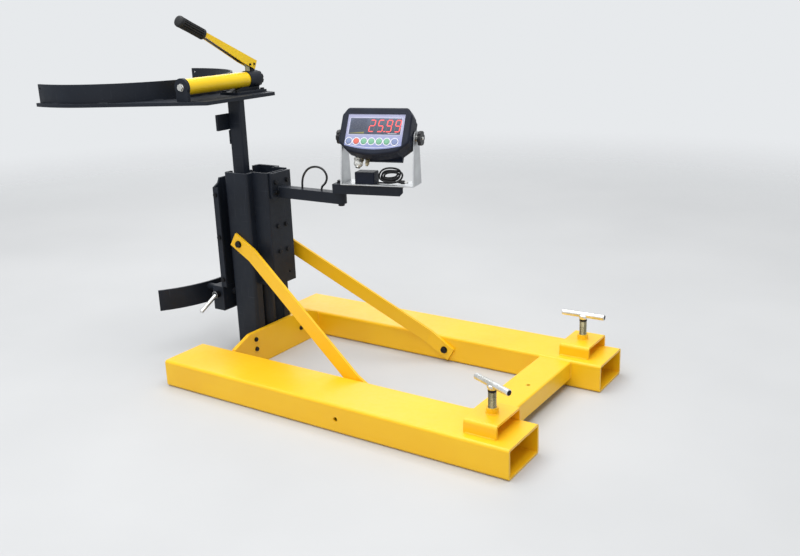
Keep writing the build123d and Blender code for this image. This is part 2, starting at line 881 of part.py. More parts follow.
with BuildPart() as top_plate:
    rim_radius = drum_radius + plate_rim
    corner_swing = degrees(atan2(plate_rear_half, plate_rear - drum_axis))
    corner_distance = hypot(plate_rear_half, plate_rear - drum_axis)
    touch_angle = corner_swing + degrees(acos(rim_radius / corner_distance))
    with BuildSketch(Plane.XY.offset(plate_bottom)):
        with Locations((drum_axis, 0)):
            Circle(rim_radius)
        with BuildLine():
            Polyline(
                (drum_axis, 0),
                around_drum(rim_radius, -touch_angle),
                (plate_rear, -plate_rear_half),
                (plate_rear, plate_rear_half),
                around_drum(rim_radius, touch_angle),
                close=True,
            )
        make_face()
        with Locations((drum_axis, 0)):
            Circle(drum_radius, mode=Mode.SUBTRACT)
        keep_sector(plate_reach, 2 * rim_radius)
    extrude(amount=plate_thickness)
    for spot in head_bolt_spots:
        drill(facing((*spot, plate_top), (0, 0, 1)), small_bolt_radius, plate_thickness)
keep(top_plate, "top_plate")

with BuildPart() as drum_band:
    band_radius = drum_radius + band_thickness
    with BuildSketch(Plane.XY.offset(plate_top)):
        with Locations((drum_axis, 0)):
            Circle(band_radius)
            Circle(drum_radius, mode=Mode.SUBTRACT)
        keep_sector(plate_reach, band_radius)
    extrude(amount=band_height)
    for side_sign in SIDES.values():
        hole_angle = side_sign * (plate_reach - band_hole_set_in)
        hole_x, hole_y = around_drum(band_radius, hole_angle)
        hole_normal = (cos(radians(hole_angle)), sin(radians(hole_angle)), 0)
        hole_plane = facing((hole_x, hole_y, plate_top + band_height - band_hole_drop), hole_normal)
        drill(hole_plane.offset(band_thickness / 2), band_hole_radius, 2 * band_thickness)
keep(drum_band, "drum_band")

with BuildPart() as lower_saddle:
    with BuildSketch(Plane.XY.offset(lower_bottom)):
        with Locations((drum_axis, 0)):
            Circle(drum_radius + lower_plate)
            Circle(drum_radius, mode=Mode.SUBTRACT)
        keep_sector(lower_reach, drum_radius + lower_plate)
    extrude(amount=lower_height)
    guide_tip = drum_axis + ((drum_radius + lower_plate / 2) ** 2 - guide_y**2) ** 0.5
    guide_length = post_front + guide_tail - guide_tip
    for side_sign in SIDES.values():
        tail_plane = facing((post_front + guide_tail, side_sign * guide_y, guide_z), (-1, 0, 0))
        post_round(tail_plane, guide_radius, guide_length)
keep(lower_saddle, "lower_saddle")

with BuildPart() as clamp_lever:
    screw_end = guide_y + guide_radius + body_gap
    hub_start = block_width / 2 + body_gap
    screw_start = facing((clamp_x, -screw_end, guide_z), (0, -1, 0))
    post_round(screw_start, lever_screw_radius, hub_start - screw_end)
    post_round(facing((clamp_x, -hub_start, guide_z), (0, -1, 0)), lever_hub_radius, lever_hub_height)
    rod_start = (clamp_x, -hub_start - lever_hub_height + lever_rod_radius, guide_z)
    rod_plane = Plane(origin=rod_start, x_dir=(1, 0, 0), z_dir=(0, -lever_rod_out, -lever_rod_drop))
    post_round(rod_plane, lever_rod_radius, hypot(lever_rod_out, lever_rod_drop))
keep(clamp_lever, "clamp_lever")

# Hand pump
with BuildPart() as pump_tube:
    with BuildSketch(facing((pump_x, tube_start, pump_z), (0, 1, 0))):
        Circle(tube_radius)
        Circle(tube_radius - tube_wall, mode=Mode.SUBTRACT)
    extrude(amount=tube_end - tube_start)
keep(pump_tube, "pump_tube")

with BuildPart() as pump_end_cap:
    cap_end = facing((pump_x, tube_start - cap_length, pump_z), (0, -1, 0))
    post_round(cap_end.offset(-cap_length), cap_radius, cap_length)
    cap_middle = tube_start - cap_length / 2
    with BuildSketch(Plane.XY.offset(plate_top)):
        with Locations((pump_x, cap_middle)):
            Rectangle(cap_post_width, cap_length)
    extrude(amount=pump_z - plate_top)
    drill(cap_end, small_bolt_radius, cap_length / 2)
keep(pump_end_cap, "pump_end_cap")

with BuildPart() as pump_head:
    head_end = tube_end + head_length
    post_round(facing((pump_x, tube_end, pump_z), (0, 1, 0)), head_radius, head_length)
    with BuildSketch(Plane(origin=(pump_x, 0, 0), x_dir=(0, 1, 0), z_dir=(1, 0, 0))):
        with BuildLine():
            Polyline(
                (head_foot_start, plate_top),
                (head_foot_end, plate_top),
                (head_foot_end, foot_top),
                (head_end, foot_top),
                (head_end, pump_z - head_radius / 2),
                (tube_end, pump_z - head_radius / 2),
                (head_foot_start, foot_top),
                close=True,
            )
        make_face()
    extrude(amount=head_neck_half_width, both=True)
    # The neck stays clear of the tube that lies above its long foot.
    with BuildSketch(facing((pump_x, tube_end, pump_z), (0, -1, 0))):
        Circle(tube_radius + slide_gap)
    extrude(amount=tube_end - head_foot_start, mode=Mode.SUBTRACT)
    with BuildSketch(Plane.XY.offset(plate_top)):
        with Locations((pump_x, (head_foot_start + head_foot_end) / 2)):
            Rectangle(pump_foot_width, head_foot_end - head_foot_start)
    extrude(amount=pump_foot_thickness)
    with BuildSketch(Plane(origin=(pump_x, pivot_y, pump_z), x_dir=(0, 1, 0), z_dir=(1, 0, 0))):
        Rectangle(2 * lug_half_length, pivot_z - pump_z, align=(Align.CENTER, Align.MIN))
        with Locations((0, pivot_z - pump_z)):
            Circle(lug_half_length)
            Circle(pin_radius + running_gap, mode=Mode.SUBTRACT)
    extrude(amount=lug_thickness / 2, both=True)
    head_top = pump_z + head_radius
    plunger_plane = facing((pump_x, plunger_y, head_top), (0, 0, 1))
    drill(plunger_plane, plunger_radius + running_gap, head_top - plunger_floor)
    drill(facing((pump_x, head_end, pump_z), (0, 1, 0)), valve_radius + running_gap, valve_depth + body_gap)
    for spot in head_bolt_spots:
        drill(facing((*spot, foot_top), (0, 0, 1)), small_bolt_radius, pump_foot_thickness)
keep(pump_head, "pump_head")

with BuildPart() as release_knob:
    knob_plane = facing((pump_x, head_end + body_gap, pump_z), (0, 1, 0))
    post_round(knob_plane, knob_radius, knob_length)
    with BuildSketch(knob_plane):
        with PolarLocations(knob_radius + knob_lobe_radius / 2, knob_lobes):
            Circle(knob_lobe_radius)
    extrude(amount=knob_length, mode=Mode.SUBTRACT)
    post_round(knob_plane.offset(-valve_depth), valve_radius, valve_depth)
keep(release_knob, "release_knob")

with BuildPart() as pump_plunger:
    shank_plane = facing((pump_x, plunger_y, plunger_bottom), (0, 0, 1))
    post_round(shank_plane, plunger_radius, eye_bottom - plunger_bottom)
    with BuildSketch(Plane(origin=(pump_x, plunger_y, eye_bottom), x_dir=(0, 1, 0), z_dir=(1, 0, 0))):
        Rectangle(eye_length, eye_height, align=(Align.CENTER, Align.MIN))
        with Locations((0, pivot_z - eye_bottom)):
            slot_height = 2 * (pin_radius + slide_gap)
            SlotOverall(slot_height + eye_slack, slot_height, mode=Mode.SUBTRACT)
    extrude(amount=lug_thickness / 2, both=True)
keep(pump_plunger, "pump_plunger")

lever_plane = Plane(
    origin=(pump_x, pivot_y, pivot_z),
    x_dir=(0, -cos(radians(lever_angle)), sin(radians(lever_angle))),
    z_dir=(-1, 0, 0),
)
plunger_pin = lever_plane.to_local_coords(Vector(pump_x, plunger_y, pivot_z))
tang_level = lever_rise - lever_tip_depth / 2
tang_plane = Plane(
    origin=lever_plane.from_local_coords((lever_length, tang_level, 0)),
    x_dir=(1, 0, 0),
    z_dir=lever_plane.x_dir,
)

with BuildPart() as pump_lever:
    with BuildSketch(lever_plane):
        with BuildLine():
            Polyline(
                (-lever_heel, lever_rise - lever_depth),
                (-lever_heel, lever_rise),
                (lever_length, lever_rise),
                (lever_length, lever_rise - lever_tip_depth),
                (lever_knee, lever_rise - lever_depth),
                close=True,
            )
        make_face()
    extrude(amount=lever_width / 2, both=True)
    inner_height = lever_rise - lever_wall
    with BuildSketch(lever_plane):
        with Locations((lever_length - lever_plug, inner_height)):
            Rectangle(2 * lever_length, 2 * lever_depth, align=(Align.MAX, Align.MAX))
    extrude(amount=lever_width / 2 - lever_wall, both=True, mode=Mode.SUBTRACT)
    post_round(tang_plane, tang_radius, tang_length)
    for spot in ((0, 0), (plunger_pin.X, plunger_pin.Y)):
        with BuildSketch(lever_plane):
            with Locations(spot):
                Circle(pin_radius)
        extrude(amount=lever_width, both=True, mode=Mode.SUBTRACT)
keep(pump_lever, "pump_lever")

with BuildPart() as lever_pins:
    for spot in ((0, 0), (plunger_pin.X, plunger_pin.Y)):
        with BuildSketch(lever_plane):
            with Locations(spot):
                Circle(pin_radius)
        extrude(amount=pin_length / 2, both=True)
keep(lever_pins, "lever_pins")

with BuildPart() as lever_grip:
    with BuildSketch(tang_plane):
        Circle(grip_radius)
    extrude(amount=grip_length)
    grip_axis = Axis(tang_plane.origin, tang_plane.z_dir)
    fillet(lever_grip.faces().sort_by(grip_axis)[-1].edges(), grip_round)
    for groove in range(grip_groove_count):
        with BuildSketch(tang_plane.offset(grip_groove_start + groove * grip_groove_pitch)):
            Circle(2 * grip_radius)
            Circle(grip_radius - grip_groove_depth, mode=Mode.SUBTRACT)
        extrude(amount=grip_groove_width, mode=Mode.SUBTRACT)
    with BuildSketch(tang_plane):
        Circle(tang_radius)
    extrude(amount=tang_length, mode=Mode.SUBTRACT)
keep(lever_grip, "lever_grip")

with BuildPart() as carriage_bolts:
    for side_sign in SIDES.values():
        for level in flange_bolt_levels:
            flange_plane = facing((flange_middle, side_sign * half, level), (0, side_sign, 0))
            add_bolt(flange_plane, small_bolt_radius, carriage_sheet, *small_head)
    for spot in head_bolt_spots:
        foot_plane = facing((*spot, foot_top), (0, 0, 1))
        add_bolt(foot_plane, small_bolt_radius, plate_thickness + pump_foot_thickness, *small_head)
    add_bolt(cap_end, small_bolt_radius, cap_length / 2, *big_head)
keep(carriage_bolts, "carriage_bolts")

# Tray and yoke
def along_plane(along, across, height):
    """Gives a plane in the turned tray's frame that looks along the tray, with local X across and Y up."""
    origin = tray_plane.from_local_coords((along, across, height))
    return Plane(origin=origin, x_dir=tray_plane.y_dir, z_dir=tray_plane.x_dir)


with BuildPart() as tray:
    tray_length = tray_end - tray_start
    with BuildSketch(tray_plane.offset(tray_top - tray_sheet)):
        with Locations((tray_start + tray_length / 2, 0)):
            Rectangle(tray_length, tray_width)
    extrude(amount=tray_sheet)
    tray_bottom = arm_top + tray_arm_gap
    edge = tray_plane.from_local_coords((0, -tray_width / 2, 0))
    with BuildSketch(Plane(origin=edge, x_dir=tray_plane.x_dir, z_dir=tray_plane.y_dir * -1)):
        with BuildLine():
            Polyline(
                (tray_start, tray_bottom),
                (tray_end - tray_corner_cut, tray_bottom),
                (tray_end, tray_bottom + tray_corner_cut),
                (tray_end, tray_top),
                (tray_start, tray_top),
                close=True,
            )
        make_face()
    extrude(amount=-tray_sheet)
    boss_height = tray_lift - tray_sheet - body_gap
    post_round(tray_plane.offset(arm_top + body_gap), boss_radius, boss_height)
    drill(tray_plane.offset(tray_top), bolt_radius + running_gap, tray_top - arm_top)
keep(tray, "tray")

with BuildPart() as yoke:
    with BuildSketch(tray_plane.offset(tray_top)):
        with Locations((yoke_middle, yoke_front + yoke_depth / 2)):
            Rectangle(yoke_span, yoke_depth)
    extrude(amount=yoke_sheet)
    for leg_along in (yoke_start, yoke_start + yoke_span - yoke_sheet):
        leg_plane = along_plane(leg_along, 0, 0)
        with BuildSketch(leg_plane):
            with BuildLine():
                Polyline(
                    (yoke_front, tray_top),
                    (yoke_front + yoke_depth, tray_top),
                    (tilt_axis_y + yoke_head_radius, tilt_axis_z),
                    (tilt_axis_y - yoke_head_radius, tilt_axis_z),
                    close=True,
                )
            make_face()
            with Locations((tilt_axis_y, tilt_axis_z)):
                Circle(yoke_head_radius)
                Circle(boss_hole_radius + running_gap, mode=Mode.SUBTRACT)
        extrude(amount=yoke_sheet)
keep(yoke, "yoke")

with BuildPart() as power_adapter:
    with BuildSketch(tray_plane.offset(yoke_top)):
        with Locations((adapter_start + adapter_length / 2, 0)):
            RectangleRounded(adapter_length, adapter_width, adapter_corner)
    extrude(amount=adapter_height)
    fillet(power_adapter.faces().sort_by(Axis.Z)[-1].edges(), adapter_edge)
    relief_plane = along_plane(adapter_start + adapter_length, hank_across, hank_level)
    post_round(relief_plane, relief_radius, relief_length)
keep(power_adapter, "power_adapter")

# The hank's loops lie in a plane that rises from the tray's left side to its right
lead_along = adapter_start + adapter_length + relief_length
lead_start = tray_plane.from_local_coords((lead_along, hank_across, hank_level))
hank_plane = Plane(
    origin=lead_start + tray_plane.x_dir * hank_lead,
    x_dir=tray_plane.x_dir,
    z_dir=Vector(0, 0, 1) * cos(radians(hank_roll)) - tray_plane.y_dir * sin(radians(hank_roll)),
)


def hank_point(along, across, height):
    """Gives a point of the hank in the shared frame."""
    return hank_plane.from_local_coords((along, across, height))


with BuildPart() as cable_hank:
    middle_turn = hank_half_turns // 2
    with BuildLine() as hank_path:
        Line(lead_start, hank_plane.origin)
        for turn in range(hank_half_turns + 1):
            inward = min(turn, hank_half_turns - turn)
            reach = hank_half_width - inward * hank_pitch / 2
            outward = 1 if turn % 2 else -1
            across = hank_half_width + outward * reach
            start, end = (hank_run, 0) if turn % 2 else (0, hank_run)
            height = 0 if turn < middle_turn else hank_layer
            if turn == middle_turn:
                # The wire climbs to the upper layer on this run, in two arcs.
                climb_radius = (hank_run**2 + hank_layer**2) / (4 * hank_layer)
                half_turn_angle = degrees(asin(hank_run / 2 / climb_radius)) / 2
                sag = climb_radius * (1 - cos(radians(half_turn_angle)))
                reach_along = climb_radius * sin(radians(half_turn_angle))
                heading = 1 if end > start else -1
                ThreePointArc(
                    hank_point(start, across, 0),
                    hank_point(start + heading * reach_along, across, sag),
                    hank_point(hank_run / 2, across, hank_layer / 2),
                )
                ThreePointArc(
                    hank_point(hank_run / 2, across, hank_layer / 2),
                    hank_point(end - heading * reach_along, across, hank_layer - sag),
                    hank_point(end, across, hank_layer),
                )
            else:
                Line(hank_point(start, across, height), hank_point(end, across, height))
            if turn < hank_half_turns:
                next_inward = min(turn + 1, hank_half_turns - turn - 1)
                next_reach = hank_half_width - next_inward * hank_pitch / 2
                next_across = hank_half_width - outward * next_reach
                radius = (reach + next_reach) / 2
                bulge = end + radius if end > start else end - radius
                ThreePointArc(
                    hank_point(end, across, height),
                    hank_point(bulge, (across + next_across) / 2, height),
                    hank_point(end, next_across, height),
                )
        tail_start = hank_point(hank_run, 0, hank_layer)
        tail_end = hank_point(hank_run + hank_tail, 0, hank_layer)
        Line(tail_start, tail_end)
    with BuildSketch(Plane(origin=lead_start, x_dir=tray_plane.y_dir, z_dir=tray_plane.x_dir)):
        Circle(hank_wire / 2)
    sweep(path=hank_path.wire())
keep(cable_hank, "cable_hank")

hank_route = hank_path.wire()
hank_length = hank_route.length
sample_count = 900
samples = [hank_route.position_at(i / sample_count) for i in range(sample_count + 1)]
apart = int(sample_count * pi * hank_wire / hank_length)
least = min(
    (samples[i] - samples[j]).length
    for i in range(sample_count + 1)
    for j in range(i + apart, sample_count + 1)
)
hank_section = pi * hank_wire**2 / 4
print("cable hank length", round(hank_length), "least gap to itself", round(least - hank_wire, 2))
print("cable hank volume over section times length", cable_hank.part.volume / hank_section / hank_length)

with BuildPart() as cord_plug:
    plug_plane = Plane(origin=tail_end, x_dir=tray_plane.y_dir, z_dir=tray_plane.x_dir)
    post_round(plug_plane, plug_radius, plug_length)
    post_round(plug_plane.offset(plug_length), plug_tip_radius, plug_tip_length)
keep(cord_plug, "cord_plug")


# Indicator
def case_outline(level, inset):
    """Gives the indicator's front outline at a level of the case, drawn in by an inset."""
    with BuildSketch(face_plane.offset(level)) as outline:
        with BuildLine():
            Polyline(
                (-case_foot_half_width, case_bottom),
                (-case_half_width, case_hip),
                (-case_half_width, case_shoulder),
                (-case_top_half_width, case_top),
                (case_top_half_width, case_top),
                (case_half_width, case_shoulder),
                (case_half_width, case_hip),
                (case_foot_half_width, case_bottom),
            )
            ThreePointArc(
                (case_foot_half_width, case_bottom),
                (0, case_bottom - case_bow),
                (-case_foot_half_width, case_bottom),
            )
        make_face()
        fillet(outline.vertices(), case_corner)
        if inset:
            offset(amount=-inset, mode=Mode.REPLACE)
    return outline.sketch


def panel_outline(level, inset):
    """Gives the face panel's outline with its bowed lower edge, drawn in by an inset."""
    top = panel_centre + panel_height / 2 - inset
    low = panel_centre - panel_height / 2 + inset
    side = panel_width / 2 - inset
    with BuildSketch(face_plane.offset(level)) as outline:
        with BuildLine():
            Polyline((-side, low), (-side, top), (side, top), (side, low))
            ThreePointArc((side, low), (0, low - panel_bow), (-side, low))
        make_face()
    return outline.sketch


panel_back = face_height - panel_thickness
key_places = [(key_offset + (i - (key_count - 1) / 2) * key_pitch, key_row) for i in range(key_count)]

with BuildPart() as indicator_front:
    extrude(case_outline(split_height, 0), amount=rim_height - split_height)
    rim_edges = indicator_front.faces().sort_by(Axis(face_plane.origin, face_plane.z_dir))[-1].edges()
    fillet(rim_edges, rim_round)
    cavity_depth = panel_back - ledge_thickness - split_height
    extrude(case_outline(split_height, case_wall), amount=cavity_depth, mode=Mode.SUBTRACT)
    extrude(panel_outline(rim_height, 0), amount=panel_back - rim_height, mode=Mode.SUBTRACT)
    extrude(panel_outline(panel_back, panel_ledge), amount=-2 * ledge_thickness, mode=Mode.SUBTRACT)
keep(indicator_front, "indicator_front")

with BuildPart() as indicator_back:
    extrude(case_outline(split_height, case_back_inset), amount=case_back - split_height)
    back_edges = indicator_back.faces().sort_by(Axis(face_plane.origin, face_plane.z_dir))[0].edges()
    fillet(back_edges, back_round)
    cavity_depth = case_back + case_wall - split_height
    cavity_inset = case_back_inset + case_wall
    extrude(case_outline(split_height, cavity_inset), amount=cavity_depth, mode=Mode.SUBTRACT)
    with BuildSketch(face_plane.offset(case_back)):
        with Locations(((stand_start + stand_end) / 2, stand_bottom)):
            Rectangle(stand_end - stand_start, stand_height, align=(Align.CENTER, Align.MIN))
    extrude(amount=stand_depth)
    for side_sign in SIDES.values():
        boss_end = face_plane.from_local_coords((side_sign * tilt_boss_reach, 0, 0))
        boss_plane = Plane(origin=boss_end, x_dir=(0, 0, 1), z_dir=tray_plane.x_dir * side_sign)
        post_round(boss_plane.offset(-tilt_boss_length), tilt_boss_radius, tilt_boss_length)
        drill(boss_plane, boss_hole_radius + running_gap, tilt_stud_length + body_gap)
    for place, radius in ((gland_offset, gland_stem_radius), (jack_offset, jack_stem_radius)):
        stem_spot = face_plane.from_local_coords((place, gland_seat, gland_level))
        stem_plane = Plane(origin=stem_spot, x_dir=face_plane.x_dir, z_dir=face_plane.y_dir * -1)
        drill(stem_plane, radius, gland_stem_length)
keep(indicator_back, "indicator_back")

with BuildPart() as face_panel:
    extrude(panel_outline(panel_back, 0), amount=panel_thickness)
    with BuildSketch(face_plane.offset(panel_back)):
        with Locations((0, window_centre)):
            Rectangle(window_width, window_height)
        with Locations(*key_places):
            Circle(key_radius + key_gap)
    extrude(amount=panel_thickness, mode=Mode.SUBTRACT)
keep(face_panel, "face_panel")

with BuildPart() as display_window:
    with BuildSketch(face_plane.offset(panel_back)):
        with Locations((0, window_centre)):
            Rectangle(window_width, window_height)
    extrude(amount=panel_thickness + window_proud)
keep(display_window, "display_window")

for number, place in enumerate(key_places, start=1):
    with BuildPart() as key:
        with BuildSketch(face_plane.offset(face_height + key_proud - key_height)):
            with Locations(place):
                Circle(key_radius)
        extrude(amount=key_height)
    keep(key, f"key_{number}")

with BuildPart() as cable_glands:
    for place, stem, radius, length, nose in (
        (gland_offset, gland_stem_radius, gland_radius, gland_length, gland_nose_radius),
        (jack_offset, jack_stem_radius, jack_radius, jack_length, jack_nose_radius),
    ):
        seat = face_plane.from_local_coords((place, gland_seat, gland_level))
        seat_plane = Plane(origin=seat, x_dir=face_plane.x_dir, z_dir=face_plane.y_dir * -1)
        post_round(seat_plane, radius, length)
        post_round(seat_plane.offset(length), nose, gland_nose_length)
        post_round(seat_plane.offset(-gland_stem_length), stem, gland_stem_length)
keep(cable_glands, "cable_glands")


def tilt_knob(name, side):
    """A star knob whose stud clamps one yoke leg to the indicator."""
    leg_outside = yoke_span / 2 + body_gap
    knob_origin = tray_plane.from_local_coords((yoke_middle + side * leg_outside, tilt_axis_y, tilt_axis_z))
    knob_plane = Plane(origin=knob_origin, x_dir=(0, 0, 1), z_dir=tray_plane.x_dir * side)
    with BuildPart() as knob:
        post_round(knob_plane, tilt_stem_radius, tilt_stem_length)
        star_plane = knob_plane.offset(tilt_stem_length)
        post_round(star_plane, tilt_knob_radius, tilt_knob_length)
        with BuildSketch(star_plane):
            with PolarLocations(tilt_knob_radius + tilt_knob_lobe_radius / 2, tilt_knob_lobes):
                Circle(tilt_knob_lobe_radius)
        extrude(amount=tilt_knob_length, mode=Mode.SUBTRACT)
        stud = leg_outside - tilt_boss_reach + tilt_stud_length
        post_round(knob_plane.offset(-stud), boss_hole_radius, stud)
    keep(knob, name)


tilt_knob("inner_tilt_knob", LEFT)
tilt_knob("outer_tilt_knob", RIGHT)
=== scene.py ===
"""Dresses the fork-mounted drum lifter with its finishes, cords, fasteners, welds and indicator face."""
import logging
import math
import random
from dataclasses import dataclass
from enum import Enum, IntEnum
from typing import Callable, Iterable, Sequence, Union

import bmesh
import bpy
from mathutils import Matrix, Vector


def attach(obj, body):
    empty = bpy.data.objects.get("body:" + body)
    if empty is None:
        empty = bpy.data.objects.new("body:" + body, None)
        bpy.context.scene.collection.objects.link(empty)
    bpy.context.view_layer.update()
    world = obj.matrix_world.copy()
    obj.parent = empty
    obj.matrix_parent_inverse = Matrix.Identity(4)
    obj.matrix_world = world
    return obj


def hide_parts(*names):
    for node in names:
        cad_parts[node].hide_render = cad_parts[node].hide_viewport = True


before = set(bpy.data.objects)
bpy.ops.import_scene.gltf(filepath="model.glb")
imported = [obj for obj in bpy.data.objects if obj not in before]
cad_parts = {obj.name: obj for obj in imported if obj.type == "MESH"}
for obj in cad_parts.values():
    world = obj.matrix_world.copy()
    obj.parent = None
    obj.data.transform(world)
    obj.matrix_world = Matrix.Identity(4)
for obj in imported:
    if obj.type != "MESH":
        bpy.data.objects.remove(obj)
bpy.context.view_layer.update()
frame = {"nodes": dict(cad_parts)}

log = logging.getLogger("drum_lifter")

Colour = tuple[float, float, float, float]
Triple = tuple[float, float, float]
Pair = tuple[float, float]
Outline = list[Pair]
Profile = Sequence[Pair]
Lobe = Callable[[float], float]
Piece = bpy.types.Object
Socket = bpy.types.NodeSocket
Value = Union[Socket, float, Sequence[float]]

MM = 0.001
FULL_TURN = 2 * math.pi
UP = Vector((0, 0, 1))
SIDES = (-1, 1)
SHARE = (0.0, 1.0)
WHITE = (1.0, 1.0, 1.0, 1.0)

# Angles in degrees above which an edge stays sharp
PLAIN_CREASE = 32.0
BOLT_CREASE = 25.0
FITTING_CREASE = 28.0
SCREW_CREASE = 40.0
GRIP_CREASE = 50.0
WELD_CREASE = 60.0

# Places that several sub-assemblies share, in millimetres
SCREW_X = 911.5
SCREW_MIDDLES = (-253.7, 279.7)
PUMP_X = -88.5
PUMP_LEVEL = 807.0
ARM_ROOT = 106.5
TRAY_PIVOT = 318.0
TRAY_TURN = math.radians(13.0)
FACE_MIDDLE = (116.5, 8.0, 671.0)
FACE_TILT = math.radians(30.0)


def tint(red: int, green: int, blue: int) -> Colour:
    """Turns a screen colour into the linear colour that a shader takes.

    Args:
        red: red from 0 to 255.
        green: green from 0 to 255.
        blue: blue from 0 to 255.

    Returns:
        The linear colour with full alpha.
    """
    linear = []
    for level in (red, green, blue):
        share = level / 255
        linear.append(share / 12.92 if share <= 0.04045 else ((share + 0.055) / 1.055) ** 2.4)
    return (*linear, 1.0)


@dataclass(frozen=True)
class Basis:
    """A place and two directions in the shared frame, in millimetres."""

    origin: Vector
    x: Vector
    z: Vector

    @property
    def y(self) -> Vector:
        """Gives the third direction."""
        return self.z.cross(self.x)

    def spot(self, x: float = 0.0, y: float = 0.0, z: float = 0.0) -> Vector:
        """Gives a local point in the shared frame, in millimetres."""
        return self.origin + self.x * x + self.y * y + self.z * z

    def at(self, x: float = 0.0, y: float = 0.0, z: float = 0.0) -> Vector:
        """Gives a local point in the shared frame, in metres."""
        return self.spot(x, y, z) * MM

    def moved(self, x: float = 0.0, y: float = 0.0, z: float = 0.0) -> "Basis":
        """Gives the same directions at another local point."""
        return Basis(self.spot(x, y, z), self.x, self.z)


def looking(origin: Sequence[float], normal: Sequence[float]) -> Basis:
    """Gives a basis whose Z looks along a direction.

    Args:
        origin: the basis' place in millimetres.
        normal: the direction of its Z.

    Returns:
        The basis, with its X level unless it looks nearly up or down.
    """
    nearly_upright = 0.9
    z = Vector(normal).normalized()
    side = UP if abs(z.z) < nearly_upright else Vector((0, 1, 0))
    return Basis(Vector(origin), side.cross(z).normalized(), z)


tray_basis = Basis(Vector((TRAY_PIVOT, 0, 0)), Vector((math.cos(TRAY_TURN), math.sin(TRAY_TURN), 0)), UP)
face_basis = Basis(
    tray_basis.spot(*FACE_MIDDLE),
    tray_basis.x,
    UP * math.sin(FACE_TILT) - tray_basis.y * math.cos(FACE_TILT),
)


def even_angles(sides: int) -> list[float]:
    """Gives the angles of points spaced evenly round a full turn."""
    return [FULL_TURN * step / sides for step in range(sides)]


def circle(radius: float, sides: int = 48) -> Outline:
    """Draws a circle about its middle."""
    return [(radius * math.cos(angle), radius * math.sin(angle)) for angle in even_angles(sides)]


def rounded(width: float, height: float, corner: float, steps: int = 6) -> Outline:
    """Draws a rectangle with round corners about its middle.

    Args:
        width: size along X.
        height: size along Y.
        corner: the corners' radius.
        steps: points on each corner less one.

    Returns:
        The outline, counter-clockwise.
    """
    points = []
    for quarter, (sx, sy) in enumerate(((1, 1), (-1, 1), (-1, -1), (1, -1))):
        for step in range(steps + 1):
            angle = (quarter + step / steps) * math.pi / 2
            x = sx * (width / 2 - corner) + corner * math.cos(angle)
            y = sy * (height / 2 - corner) + corner * math.sin(angle)
            points.append((x, y))
    return points


def shifted(profile: Profile, radius: float, height: float = 0.0) -> list[Pair]:
    """Moves a profile out by a radius and up by a height."""
    return [(radius + out, height + rise) for out, rise in profile]


def lobes(count: int, depth: float) -> Lobe:
    """Gives a knob's outline as a share of its radius, with a number of lobes."""
    return lambda angle: 1 - depth * (0.5 - 0.5 * math.cos(count * angle)) ** 2


def upright(x: float, y: float, levels: Pair) -> list[Vector]:
    """Gives the ends of an upright line, in millimetres."""
    return [Vector((x, y, level)) for level in levels]


class WeldSeed(IntEnum):
    """The first of the numbers that make each set of weld beads uneven in its own way."""

    PLATE = 0
    CROSS = 10
    SADDLE = 20
    NUT = 30
    MAST = 40
    ARM = 42
    BAND = 50
    BAR = 60


